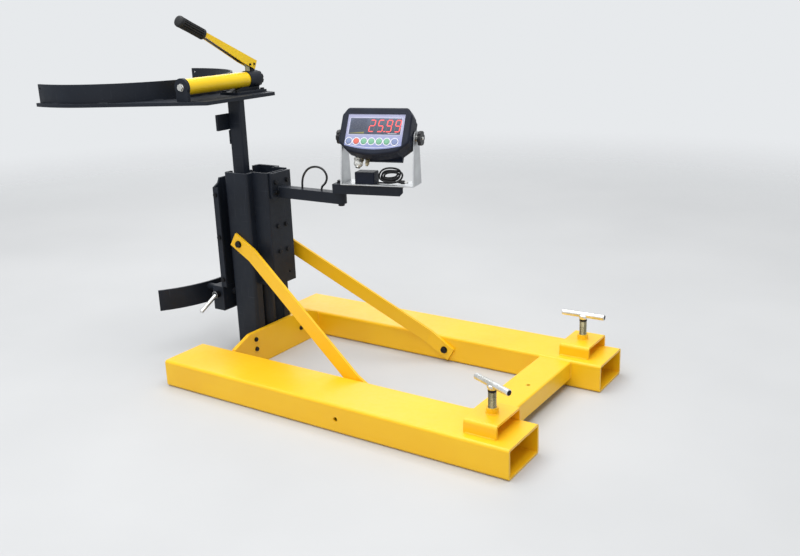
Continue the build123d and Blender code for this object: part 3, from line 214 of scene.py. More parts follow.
class MeshDraft:
    """Collects the faces of one piece before it becomes an object."""

    head_sides: int = 36
    washer_share: float = 0.22
    flat_share: float = 0.8
    crown_share: float = 0.93
    head_slope: float = math.tan(math.radians(30))
    thread_sides: int = 28
    thread_rows: int = 6
    bead_sides: int = 10
    bead_rows: int = 4
    bead_pitch: float = 0.45
    bead_end: Pair = (0.2, 0.3)
    ripple_low: float = 0.84
    ripple_rise: float = 0.12
    ripple_chance: float = 0.06

    def __init__(self) -> None:
        """Starts an empty piece."""
        self.mesh = bmesh.new()

    def skin(self, first: list, second: list) -> None:
        """Joins two closed rings of points by quads.

        Args:
            first: one ring.
            second: the other ring, of the same count.
        """
        count = len(first)
        for i in range(count):
            j = (i + 1) % count
            self.mesh.faces.new((first[i], first[j], second[j], second[i]))

    def loft(self, rings: Iterable[Iterable[Vector]], loop: bool = False) -> "MeshDraft":
        """Skins a row of rings.

        Args:
            rings: the rings' points in metres, all of one count.
            loop: whether the last ring joins the first, instead of both being capped.

        Returns:
            The same draft.
        """
        drawn = [[self.mesh.verts.new(point) for point in ring] for ring in rings]
        for first, second in zip(drawn, drawn[1:]):
            self.skin(first, second)
        if loop:
            self.skin(drawn[-1], drawn[0])
        else:
            self.mesh.faces.new(list(reversed(drawn[0])))
            self.mesh.faces.new(drawn[-1])
        return self

    def turned(
        self, basis: Basis, profile: Profile, sides: int = 48, lobe: Lobe | None = None
    ) -> "MeshDraft":
        """Turns a profile round the basis' Z.

        Args:
            basis: the axis.
            profile: pairs of radius and height.
            sides: points on each ring.
            lobe: the share of the radius at an angle, for a lobed knob.

        Returns:
            The same draft.
        """
        share = lobe or (lambda angle: 1.0)
        rings = []
        for radius, height in profile:
            reaches = [(angle, radius * share(angle)) for angle in even_angles(sides)]
            rings.append([basis.at(r * math.cos(a), r * math.sin(a), height) for a, r in reaches])
        return self.loft(rings)

    def slab(self, basis: Basis, outline: Outline, levels: Pair) -> "MeshDraft":
        """Raises an outline from one height to another."""
        return self.loft([basis.at(x, y, height) for x, y in outline] for height in levels)

    def band(self, basis: Basis, outer: Outline, inner: Outline, levels: Pair) -> "MeshDraft":
        """Raises the strip between two outlines.

        Args:
            basis: the outlines' plane.
            outer: the outer outline.
            inner: the inner outline, of the same count.
            levels: the strip's lower and upper height.

        Returns:
            The same draft.
        """
        low, high = levels
        edges = ((outer, low), (outer, high), (inner, high), (inner, low))
        return self.loft(([basis.at(x, y, height) for x, y in line] for line, height in edges), loop=True)

    def hex_head(self, basis: Basis, radius: float, height: float) -> "MeshDraft":
        """Makes a washer with a chamfered six-sided head on it.

        Args:
            basis: the seat, looking out of it.
            radius: the washer's radius, which the head stays inside.
            height: the whole height.

        Returns:
            The same draft.
        """
        sides = self.head_sides
        washer = self.washer_share * height
        flat = self.flat_share * radius
        crown = self.crown_share * flat
        angles = even_angles(sides)
        reaches = [flat / math.cos(angle % (FULL_TURN / 6) - FULL_TURN / 12) for angle in angles]
        chamfer = [height - (reach - crown) * self.head_slope for reach in reaches]

        def ring(radii: Sequence[float], levels: Sequence[float]) -> list[Vector]:
            """Gives one ring of the head."""
            spots = zip(angles, radii, levels)
            return [basis.at(r * math.cos(a), r * math.sin(a), level) for a, r, level in spots]

        return self.loft(
            [
                ring([radius] * sides, [0] * sides),
                ring([radius] * sides, [washer] * sides),
                ring(reaches, [washer] * sides),
                ring(reaches, chamfer),
                ring([crown] * sides, [height] * sides),
            ]
        )

    def thread(
        self, basis: Basis, radius: float, depth: float, pitch: float, levels: Pair
    ) -> "MeshDraft":
        """Makes a rod with a screw thread.

        Args:
            basis: the rod's axis.
            radius: the thread's outer radius.
            depth: the groove's depth.
            pitch: the thread's pitch.
            levels: where the rod starts and ends.

        Returns:
            The same draft.
        """
        low, high = levels
        rows = round((high - low) / pitch * self.thread_rows)
        rings = []
        for row in range(rows + 1):
            level = low + (high - low) * row / rows
            ring = []
            for step, angle in enumerate(even_angles(self.thread_sides)):
                groove = abs(2 * ((level / pitch - step / self.thread_sides) % 1.0) - 1)
                reach = radius - depth * groove
                ring.append(basis.at(reach * math.cos(angle), reach * math.sin(angle), level))
            rings.append(ring)
        return self.loft(rings)

    def bead(self, corners: Sequence[Vector], radius: float, seed: int) -> "MeshDraft":
        """Lays a rippled weld bead along straight runs.

        Args:
            corners: the runs' ends in millimetres.
            radius: the bead's radius in millimetres.
            seed: picks the bead's own unevenness.

        Returns:
            The same draft.
        """
        chance = random.Random(seed)
        narrow, past = (share * radius for share in self.bead_end)
        for start, end in zip(corners, corners[1:]):
            length = (end - start).length
            count = max(self.bead_rows, round(length / (self.bead_pitch * radius)))
            profile = [(narrow, -past)]
            for step in range(count + 1):
                uneven = chance.uniform(-self.ripple_chance, self.ripple_chance)
                ripple = self.ripple_low + self.ripple_rise * (step % 2) + uneven
                profile.append((radius * ripple, length * step / count))
            profile.append((narrow, length + past))
            self.turned(looking(start, end - start), profile, sides=self.bead_sides)
        return self

    def make(self, name: str, crease: float = PLAIN_CREASE) -> Piece:
        """Turns the collected faces into an object.

        Args:
            name: the piece's name.
            crease: the angle in degrees above which an edge stays sharp.

        Returns:
            The new object, at the origin of the shared frame.
        """
        bmesh.ops.recalc_face_normals(self.mesh, faces=self.mesh.faces)
        data = bpy.data.meshes.new(name)
        self.mesh.to_mesh(data)
        self.mesh.free()
        data.polygons.foreach_set("use_smooth", [True] * len(data.polygons))
        data.set_sharp_from_angle(angle=math.radians(crease))
        piece = bpy.data.objects.new(name, data)
        bpy.context.scene.collection.objects.link(piece)
        return piece


class NodeBench:
    """Adds and joins shader nodes in one tree."""

    def __init__(self, tree: bpy.types.NodeTree) -> None:
        """Takes the tree to work in."""
        self.tree = tree

    def add(self, kind: str, **settings: object) -> bpy.types.Node:
        """Adds a node.

        Args:
            kind: the node's type.
            settings: its properties and their values.

        Returns:
            The new node.
        """
        node = self.tree.nodes.new(kind)
        for name, value in settings.items():
            setattr(node, name, value)
        return node

    def feed(self, socket: Socket, value: Value) -> None:
        """Links a socket to another, or sets it.

        Args:
            socket: the socket that takes the value.
            value: a socket, or a plain number or colour.
        """
        if isinstance(value, Socket):
            self.tree.links.new(value, socket)
        else:
            socket.default_value = value

    def combine(self, operation: str, first: Value, second: Value) -> Socket:
        """Works two values into one.

        Args:
            operation: the sum's name.
            first: the first value.
            second: the second value.

        Returns:
            The result, kept between 0 and 1.
        """
        node = self.add("ShaderNodeMath", operation=operation, use_clamp=True)
        self.feed(node.inputs[0], first)
        self.feed(node.inputs[1], second)
        return node.outputs[0]

    def times(self, first: Value, second: Value) -> Socket:
        """Multiplies two values."""
        return self.combine("MULTIPLY", first, second)

    def mix(self, share: Value, first: Value, second: Value) -> Socket:
        """Mixes two colours.

        Args:
            share: how much of the second colour shows.
            first: the first colour.
            second: the second colour.

        Returns:
            The mixed colour.
        """
        node = self.add("ShaderNodeMix", data_type="RGBA")
        factor, first_colour, second_colour = (node.inputs[index] for index in (0, 6, 7))
        self.feed(factor, share)
        self.feed(first_colour, first)
        self.feed(second_colour, second)
        return node.outputs[2]

    def blend(self, share: Value, first: bpy.types.Node, second: bpy.types.Node) -> Socket:
        """Mixes two shaders.

        Args:
            share: how much of the second shader shows.
            first: the first shader.
            second: the second shader.

        Returns:
            The mixed shader.
        """
        node = self.add("ShaderNodeMixShader")
        for socket, value in zip(node.inputs, (share, first.outputs[0], second.outputs[0])):
            self.feed(socket, value)
        return node.outputs[0]

    def span(self, value: Value, source: Pair, target: Pair) -> Socket:
        """Moves a value smoothly from one range to another.

        Args:
            value: the value.
            source: the range that it comes from.
            target: the range that it goes to.

        Returns:
            The moved value.
        """
        node = self.add("ShaderNodeMapRange", interpolation_type="SMOOTHSTEP")
        for socket, number in zip(node.inputs, (value, *source, *target)):
            self.feed(socket, number)
        return node.outputs[0]

    def place(self) -> Socket:
        """Gives the point on the piece, in metres."""
        return self.add("ShaderNodeTexCoord").outputs["Object"]

    def facing(self) -> Socket:
        """Gives the surface's own direction."""
        return self.add("ShaderNodeNewGeometry").outputs["Normal"]

    def dot(self, first: Value, second: Value) -> Socket:
        """Gives how far one vector goes along another.

        Args:
            first: one vector.
            second: the other.

        Returns:
            The length.
        """
        node = self.add("ShaderNodeVectorMath", operation="DOT_PRODUCT")
        self.feed(node.inputs[0], first)
        self.feed(node.inputs[1], second)
        return node.outputs["Value"]

    def noise(self, scale: Value, detail: float, where: Socket | None = None) -> Socket:
        """Makes noise over the piece.

        Args:
            scale: its scale.
            detail: how many finer layers it has.
            where: the point to read it at, or none for the point on the piece.

        Returns:
            The noise.
        """
        node = self.add("ShaderNodeTexNoise")
        self.feed(node.inputs["Vector"], where or self.place())
        self.feed(node.inputs["Scale"], scale)
        self.feed(node.inputs["Detail"], detail)
        return node.outputs[0]

    def stretched(self, scale: Triple) -> Socket:
        """Gives the point on the piece, scaled by a different number along each axis.

        Args:
            scale: the three numbers.

        Returns:
            The scaled point.
        """
        node = self.add("ShaderNodeMapping")
        self.feed(node.inputs["Vector"], self.place())
        self.feed(node.inputs["Scale"], scale)
        return node.outputs[0]

    def bump(
        self, height: Socket, strength: float, distance: float, normal: Socket | None = None
    ) -> Socket:
        """Makes a normal that follows a height.

        Args:
            height: the height.
            strength: how much of it shows.
            distance: its depth in metres.
            normal: the normal to start from, or none for the surface's own.

        Returns:
            The new normal.
        """
        node = self.add("ShaderNodeBump")
        self.feed(node.inputs["Strength"], strength)
        self.feed(node.inputs["Distance"], distance)
        self.feed(node.inputs["Height"], height)
        if normal is not None:
            self.feed(node.inputs["Normal"], normal)
        return node.outputs[0]


class Effect(Enum):
    """The surface effects that several finishes share."""

    MOTTLE = "mottle"
    EDGE = "edge"
    DUST = "dust"
    PEEL = "peel"
    SCRATCH = "scratch"
    BRUSH = "brush"
    MOULD = "mould"


class EffectLibrary:
    """Builds each shared effect once, as a shader node group."""

    cloud_range: Pair = (0.35, 0.65)
    finer_by: float = 14.0
    finer_range: Pair = (0.3, 0.7)
    rim_turn: Pair = (0.995, 0.82)
    rim_noise_scale: float = 55.0
    rim_noise_range: Pair = (0.4, 0.62)
    rim_noise_shares: Pair = (0.15, 1.0)
    upward: Pair = (0.55, 0.98)
    patch_scale: float = 9.0
    patch_range: Pair = (0.35, 0.75)
    patch_shares: Pair = (0.25, 1.0)
    hair_scales: tuple[Triple, Triple] = ((9.0, 260.0, 260.0), (210.0, 190.0, 12.0))
    hair_range: Pair = (0.68, 0.76)
    brush_scale: Triple = (900.0, 900.0, 18.0)

    def __init__(self) -> None:
        """Builds every effect."""
        self.groups = {effect: self.build(effect) for effect in Effect}

    def build(self, effect: Effect) -> bpy.types.NodeTree:
        """Builds one effect's group.

        Args:
            effect: which effect.

        Returns:
            The node group, with named inputs and outputs.
        """
        tree = bpy.data.node_groups.new(effect.value, "ShaderNodeTree")
        bench = NodeBench(tree)
        results = getattr(self, effect.value)(bench)
        for name in results:
            kind = "NodeSocketVector" if name == "Normal" else "NodeSocketFloat"
            tree.interface.new_socket(name, in_out="OUTPUT", socket_type=kind)
        out = bench.add("NodeGroupOutput")
        for name, socket in results.items():
            tree.links.new(socket, out.inputs[name])
        return tree

    def opening(self, bench: NodeBench, name: str, value: float) -> Socket:
        """Gives a group its input.

        Args:
            bench: the group's bench.
            name: the input's name.
            value: its default.

        Returns:
            The input's socket inside the group.
        """
        socket = bench.tree.interface.new_socket(name, in_out="INPUT", socket_type="NodeSocketFloat")
        socket.default_value = value
        return bench.add("NodeGroupInput").outputs[name]

    def mottle(self, bench: NodeBench) -> dict[str, Socket]:
        """Makes broad and fine cloudiness.

        Args:
            bench: the group's bench.

        Returns:
            The cloudiness at both scales.
        """
        scale = self.opening(bench, "Scale", 6.0)
        finer = bench.add("ShaderNodeMath", operation="MULTIPLY")
        bench.feed(finer.inputs[0], scale)
        bench.feed(finer.inputs[1], self.finer_by)
        broad = bench.span(bench.noise(scale, detail=3.0), self.cloud_range, SHARE)
        fine = bench.span(bench.noise(finer.outputs[0], detail=4.0), self.finer_range, SHARE)
        return {"Broad": broad, "Fine": fine}

    def edge(self, bench: NodeBench) -> dict[str, Socket]:
        """Rounds sharp edges and marks their rims in broken patches, where the paints show worn edges and
        painted highlight.

        Args:
            bench: the group's bench.

        Returns:
            The rounded normal and the mask of the rims.
        """
        bevel = bench.add("ShaderNodeBevel", samples=6)
        bench.feed(bevel.inputs["Radius"], self.opening(bench, "Radius", 0.0012))
        rim = bench.span(bench.dot(bevel.outputs[0], bench.facing()), self.rim_turn, SHARE)
        broken = bench.span(bench.noise(self.rim_noise_scale, detail=5.0), self.rim_noise_range, self.rim_noise_shares)
        return {"Normal": bevel.outputs[0], "Wear": bench.times(rim, broken)}

    def dust(self, bench: NodeBench) -> dict[str, Socket]:
        """Marks faces that look up, in loose patches.

        Args:
            bench: the group's bench.

        Returns:
            The dusty places.
        """
        split = bench.add("ShaderNodeSeparateXYZ")
        bench.feed(split.inputs[0], bench.facing())
        facing_up = bench.span(split.outputs["Z"], self.upward, SHARE)
        loose = bench.noise(self.patch_scale, detail=6.0)
        patches = bench.span(loose, self.patch_range, self.patch_shares)
        return {"Mask": bench.times(facing_up, patches)}

    def peel(self, bench: NodeBench) -> dict[str, Socket]:
        """Makes the slight waviness of sprayed paint."""
        return {"Height": bench.noise(self.opening(bench, "Scale", 320.0), detail=1.5)}

    def scratch(self, bench: NodeBench) -> dict[str, Socket]:
        """Makes sparse hair scratches in two directions.

        Args:
            bench: the group's bench.

        Returns:
            The scratched places.
        """
        marks = []
        for scale in self.hair_scales:
            hairs = bench.noise(1.0, detail=1.0, where=bench.stretched(scale))
            marks.append(bench.span(hairs, self.hair_range, SHARE))
        return {"Mask": bench.combine("MAXIMUM", *marks)}

    def brush(self, bench: NodeBench) -> dict[str, Socket]:
        """Makes fine lines along Z, as a drawn or brushed metal has."""
        return {"Lines": bench.noise(1.0, detail=3.0, where=bench.stretched(self.brush_scale))}

    def mould(self, bench: NodeBench) -> dict[str, Socket]:
        """Makes the fine grain of a moulded surface."""
        return {"Height": bench.noise(self.opening(bench, "Scale", 900.0), detail=3.0)}


class MaterialBench(NodeBench):
    """A bench for one material, with its shader and the shared effects at hand."""

    def __init__(self, material: bpy.types.Material, effects: EffectLibrary) -> None:
        """Takes the material and the effects.

        Args:
            material: the material to work on.
            effects: the shared effects.
        """
        material.use_nodes = True
        super().__init__(material.node_tree)
        self.shader = self.tree.nodes["Principled BSDF"]
        self.effects = effects

    def surface(self, name: str, value: Value) -> None:
        """Feeds one of the shader's inputs."""
        self.feed(self.shader.inputs[name], value)

    def effect(self, effect: Effect, **values: float) -> bpy.types.NodeOutputs:
        """Places a shared effect in the material.

        Args:
            effect: which effect.
            values: the values of its inputs.

        Returns:
            The effect's outputs.
        """
        node = self.add("ShaderNodeGroup", node_tree=self.effects.groups[effect])
        for name, value in values.items():
            self.feed(node.inputs[name], value)
        return node.outputs


@dataclass(frozen=True)
class Finish:
    """A finish, with the record's slot that it belongs to."""

    slot: str
    base: Colour
    second: Colour
    rough: Pair

    def compose(self, bench: MaterialBench) -> None:
        """Joins the finish's nodes to the shader."""
        raise NotImplementedError

    def material(self, name: str, effects: EffectLibrary) -> bpy.types.Material:
        """Builds the finish's material.

        Args:
            name: the material's name.
            effects: the shared effects.

        Returns:
            The material.
        """
        material = bpy.data.materials.new(name)
        self.compose(MaterialBench(material, effects))
        return material


@dataclass(frozen=True)
class PaintFinish(Finish):
    """Sprayed paint or powder coat that is lighter on its edges, partly worn and partly painted
    highlight.
    """

    # Colour of the rims and scratches: worn paint, and painted highlight along the edges.
    wear_and_highlight_colour: Colour
    edge: float
    wear: float
    peel: float
    dust: float
    coat: float
    specular: float
    cloud: float = 5.0
    scratched: float = 0.3
    dusty: float = 0.12
    peel_depth: float = 0.0004
    coat_rough: float = 0.32

    def compose(self, bench: MaterialBench) -> None:
        """Joins cloudy colour, lighter edges that are partly worn paint and partly painted highlight,
        dust and orange peel to the shader.

        Args:
            bench: the material's bench.
        """
        mottle = bench.effect(Effect.MOTTLE, Scale=self.cloud)
        edge = bench.effect(Effect.EDGE, Radius=self.edge)
        dust = bench.effect(Effect.DUST)
        scratch = bench.effect(Effect.SCRATCH)
        peel = bench.effect(Effect.PEEL)
        colour = bench.mix(mottle["Broad"], self.base, self.second)
        # Painted highlight with worn paint: the rims lighten towards the rim colour.
        colour = bench.mix(bench.times(edge["Wear"], self.wear), colour, self.wear_and_highlight_colour)
        colour = bench.mix(bench.times(scratch["Mask"], self.scratched * self.wear), colour, self.wear_and_highlight_colour)
        colour = bench.mix(bench.times(dust["Mask"], self.dust), colour, DUST_COLOUR)
        rough = bench.span(mottle["Fine"], SHARE, self.rough)
        bench.surface("Base Color", colour)
        bench.surface("Roughness", bench.combine("ADD", rough, bench.times(dust["Mask"], self.dusty)))
        bench.surface("Normal", bench.bump(peel["Height"], self.peel, self.peel_depth, edge["Normal"]))
        bench.surface("Coat Weight", self.coat)
        bench.surface("Coat Roughness", self.coat_rough)
        bench.surface("Specular IOR Level", self.specular)


@dataclass(frozen=True)
class MetalFinish(Finish):
    """Plated, ground or brushed metal."""

    edge: float
    lines: float
    cloud: float = 22.0
    tarnish: float = 0.7
    line_share: float = 0.7
    cloud_share: float = 0.3
    grain_range: Pair = (0.2, 0.8)
    scratched: float = 0.1
    line_depth: float = 0.0002

    def compose(self, bench: MaterialBench) -> None:
        """Joins tarnish, brushed lines and rounded edges to the shader.

        Args:
            bench: the material's bench.
        """
        mottle = bench.effect(Effect.MOTTLE, Scale=self.cloud)
        edge = bench.effect(Effect.EDGE, Radius=self.edge)
        scratch = bench.effect(Effect.SCRATCH)
        brush = bench.effect(Effect.BRUSH)
        tarnish = bench.times(mottle["Broad"], self.tarnish)
        brushed = bench.times(brush["Lines"], self.line_share)
        grain = bench.combine("ADD", brushed, bench.times(mottle["Fine"], self.cloud_share))
        rough = bench.span(grain, self.grain_range, self.rough)
        hairs = bench.times(scratch["Mask"], self.scratched)
        bench.surface("Base Color", bench.mix(tarnish, self.base, self.second))
        bench.surface("Roughness", bench.combine("ADD", rough, hairs))
        bench.surface("Normal", bench.bump(brush["Lines"], self.lines, self.line_depth, edge["Normal"]))
        bench.surface("Metallic", 1.0)


@dataclass(frozen=True)
class PlasticFinish(Finish):
    """Moulded plastic, rubber or cord jacket."""

    edge: float
    grain: float
    scale: float
    specular: float
    cloud: float = 14.0
    dust: float = 0.04
    polish: float = 0.12
    grain_depth: float = 0.0003

    def compose(self, bench: MaterialBench) -> None:
        """Joins cloudy colour, polished edges and moulded grain to the shader.

        Args:
            bench: the material's bench.
        """
        mottle = bench.effect(Effect.MOTTLE, Scale=self.cloud)
        edge = bench.effect(Effect.EDGE, Radius=self.edge)
        mould = bench.effect(Effect.MOULD, Scale=self.scale)
        dust = bench.effect(Effect.DUST)
        colour = bench.mix(mottle["Broad"], self.base, self.second)
        colour = bench.mix(bench.times(dust["Mask"], self.dust), colour, DUST_COLOUR)
        rough = bench.span(mottle["Fine"], SHARE, self.rough)
        polished = bench.times(edge["Wear"], self.polish)
        bench.surface("Base Color", colour)
        bench.surface("Roughness", bench.combine("SUBTRACT", rough, polished))
        bench.surface("Normal", bench.bump(mould["Height"], self.grain, self.grain_depth, edge["Normal"]))
        bench.surface("Specular IOR Level", self.specular)


@dataclass(frozen=True)
class FilmFinish(Finish):
    """Film whose colour changes up the indicator's face."""

    low: float
    high: float
    coat: float
    cloud: float = 30.0
    smudge: float = 0.08
    grain: float = 0.08
    grain_scale: float = 1400.0
    grain_depth: float = 0.0002
    coat_rough: float = 0.08

    def compose(self, bench: MaterialBench) -> None:
        """Joins a colour that gets lighter up the face, smudges and a fine film grain to the shader.

        Args:
            bench: the material's bench.
        """
        mottle = bench.effect(Effect.MOTTLE, Scale=self.cloud)
        mould = bench.effect(Effect.MOULD, Scale=self.grain_scale)
        middle = (face_basis.origin * MM).dot(face_basis.y)
        ends = (middle + self.low * MM, middle + self.high * MM)
        rise = bench.span(bench.dot(bench.place(), face_basis.y), ends, SHARE)
        cloudy = bench.combine("ADD", rise, bench.times(mottle["Broad"], self.smudge))
        bench.surface("Base Color", bench.mix(cloudy, self.second, self.base))
        bench.surface("Roughness", bench.span(mottle["Fine"], SHARE, self.rough))
        bench.surface("Normal", bench.bump(mould["Height"], self.grain, self.grain_depth))
        bench.surface("Coat Weight", self.coat)
        bench.surface("Coat Roughness", self.coat_rough)


@dataclass(frozen=True)
class GlowFinish(Finish):
    """A display segment, lit or dark."""

    glow: float
    cloud: float = 60.0

    def compose(self, bench: MaterialBench) -> None:
        """Joins an uneven glow to the shader.

        Args:
            bench: the material's bench.
        """
        mottle = bench.effect(Effect.MOTTLE, Scale=self.cloud)
        colour = bench.mix(mottle["Fine"], self.base, self.second)
        bench.surface("Base Color", colour)
        bench.surface("Emission Color", colour)
        bench.surface("Roughness", bench.span(mottle["Broad"], SHARE, self.rough))
        bench.surface("Emission Strength", self.glow)


def ink(base: Colour, second: Colour) -> PlasticFinish:
    """Gives the finish of one colour of print on the indicator's film.

    Args:
        base: the print's colour.
        second: the colour that it clouds to.

    Returns:
        The finish.
    """
    return PlasticFinish(
        "panel_film", base, second, (0.4, 0.5),
        edge=0.0001, grain=0.05, scale=1500.0, specular=0.4,
    )


def key_cap(slot: str, base: Colour, second: Colour) -> PlasticFinish:
    """Gives the finish of one colour of key.

    Args:
        slot: the record's slot.
        base: the key's colour.
        second: the colour that it clouds to.

    Returns:
        The finish.
    """
    return PlasticFinish(
        slot, base, second, (0.34, 0.44),
        edge=0.0006, grain=0.1, scale=1500.0, specular=0.45,
    )


DUST_COLOUR = tint(168, 164, 154)


class Coat(Enum):
    """The lifter's finishes."""

    YELLOW = PaintFinish(
        "yellow_paint", tint(251, 198, 18), tint(248, 192, 15), (0.36, 0.46), tint(232, 200, 104),
        edge=0.0016, wear=0.08, peel=0.02, dust=0.02, coat=0.4, specular=0.3,
    )
    LEMON = PaintFinish(
        "yellow_paint", tint(253, 214, 12), tint(250, 206, 9), (0.32, 0.42), tint(234, 206, 96),
        edge=0.0008, wear=0.08, peel=0.02, dust=0.02, coat=0.4, specular=0.3,
    )
    # The black's rims lighten strongly towards grey: partly worn powder coat, partly painted highlight
    # standing in for the light lines along its edges.
    BLACK = PaintFinish(
        "black_paint", tint(28, 34, 44), tint(22, 27, 36), (0.4, 0.5), tint(84, 89, 99),
        edge=0.0014, wear=0.4, peel=0.18, dust=0.03, coat=0.0, specular=0.22,
    )
    BOLT = MetalFinish(
        "black_steel", tint(52, 53, 56), tint(34, 35, 38), (0.34, 0.5), edge=0.0005, lines=0.1
    )
    ZINC = MetalFinish(
        "zinc_steel", tint(224, 226, 226), tint(190, 189, 182), (0.22, 0.38), edge=0.0006, lines=0.15
    )
    OILED = MetalFinish(
        "zinc_steel", tint(158, 153, 124), tint(118, 113, 90), (0.2, 0.34), edge=0.0004, lines=0.1
    )
    GROUND = MetalFinish(
        "ground_steel", tint(214, 216, 220), tint(190, 193, 198), (0.1, 0.2), edge=0.0005, lines=0.1
    )
    STAINLESS = MetalFinish(
        "stainless_steel", tint(196, 198, 199), tint(174, 176, 178), (0.3, 0.46), edge=0.0005, lines=0.3
    )
    GLAND = MetalFinish(
        "gland_metal", tint(208, 208, 204), tint(178, 176, 168), (0.2, 0.34), edge=0.0004, lines=0.1
    )
    BRASS = MetalFinish(
        "gland_metal", tint(218, 205, 172), tint(188, 174, 142), (0.22, 0.36), edge=0.0004, lines=0.1
    )
    RUBBER = PlasticFinish(
        "rubber_black", tint(30, 32, 34), tint(22, 23, 25), (0.5, 0.66),
        edge=0.0006, grain=0.25, scale=1100.0, specular=0.35,
    )
    CORD = PlasticFinish(
        "cord_black", tint(24, 25, 28), tint(17, 18, 20), (0.42, 0.56),
        edge=0.0003, grain=0.12, scale=1600.0, specular=0.4,
    )
    CASE = PlasticFinish(
        "case_plastic", tint(23, 30, 45), tint(17, 22, 36), (0.44, 0.56),
        edge=0.0012, grain=0.22, scale=1200.0, specular=0.2,
    )
    KNOB = PlasticFinish(
        "knob_plastic", tint(20, 22, 28), tint(15, 17, 22), (0.36, 0.5),
        edge=0.001, grain=0.15, scale=1200.0, specular=0.3,
    )
    PANEL = FilmFinish(
        "panel_film", tint(160, 162, 194), tint(131, 141, 188), (0.34, 0.46),
        low=-44.0, high=6.0, coat=0.15,
    )
    WINDOW = FilmFinish(
        "window_plastic", tint(72, 82, 104), tint(58, 67, 86), (0.12, 0.2),
        low=-2.0, high=36.0, coat=0.3,
    )
    PILL = FilmFinish(
        "window_plastic", tint(57, 65, 87), tint(47, 54, 72), (0.2, 0.3),
        low=-2.0, high=36.0, coat=0.2,
    )
    PRINT = ink(tint(236, 237, 242), tint(224, 226, 234))
    OLIVE = ink(tint(132, 130, 72), tint(116, 112, 60))
    LIT = GlowFinish("window_plastic", tint(250, 90, 84), tint(240, 74, 70), (0.3, 0.4), glow=0.55)
    DARK = GlowFinish("window_plastic", tint(84, 84, 96), tint(78, 78, 90), (0.3, 0.4), glow=0.0)
    KEY_BLUE = key_cap("key_blue", tint(124, 138, 178), tint(112, 126, 166))
    KEY_RED = key_cap("key_red", tint(218, 104, 88), tint(206, 92, 78))
    KEY_GREEN = key_cap("key_green", tint(118, 176, 144), tint(106, 164, 132))


class Workshop:
    """Gives each piece its finish and its body, and logs each one."""

    def __init__(self, nodes: dict[str, Piece]) -> None:
        """Builds every finish.

        Args:
            nodes: the frame's own pieces by name.
        """
        self.nodes = nodes
        effects = EffectLibrary()
        self.materials = {coat: coat.value.material(coat.name.lower(), effects) for coat in Coat}

    def dress(self, coat: Coat, *names: str) -> None:
        """Gives pieces of the frame a finish.

        Args:
            coat: the finish.
            names: the pieces' names.
        """
        for name in names:
            surface = self.nodes[name].data.materials
            surface.clear()
            surface.append(self.materials[coat])
            log.info("dressed %s in %s", name, coat.name.lower())

    def place(self, piece: Piece, body: str, coat: Coat, replaces: Sequence[str] = ()) -> Piece:
        """Finishes a new piece and fixes it to its body.

        Args:
            piece: the new piece.
            body: the body that it moves with.
            coat: its finish.
            replaces: the frame's pieces that it stands for.

        Returns:
            The same piece.
        """
        piece.data.materials.append(self.materials[coat])
        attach(piece, body)
        if replaces:
            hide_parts(*replaces)
        log.info("placed %s on %s", piece.name, body)
        return piece


@dataclass(frozen=True)
class Lamp:
    """A soft rectangular lamp, in metres and watts."""

    name: str
    spot: Triple
    target: Triple
    size: Pair
    power: float

    def hang(self) -> None:
        """Hangs the lamp and turns it to its target."""
        data = bpy.data.lights.new(self.name, "AREA")
        data.shape = "RECTANGLE"
        data.size, data.size_y = self.size
        data.energy = self.power
        lamp = bpy.data.objects.new(self.name, data)
        aim = (Vector(self.target) - Vector(self.spot)).to_track_quat("-Z", "Y")
        lamp.matrix_world = Matrix.Translation(self.spot) @ aim.to_matrix().to_4x4()
        bpy.context.scene.collection.objects.link(lamp)


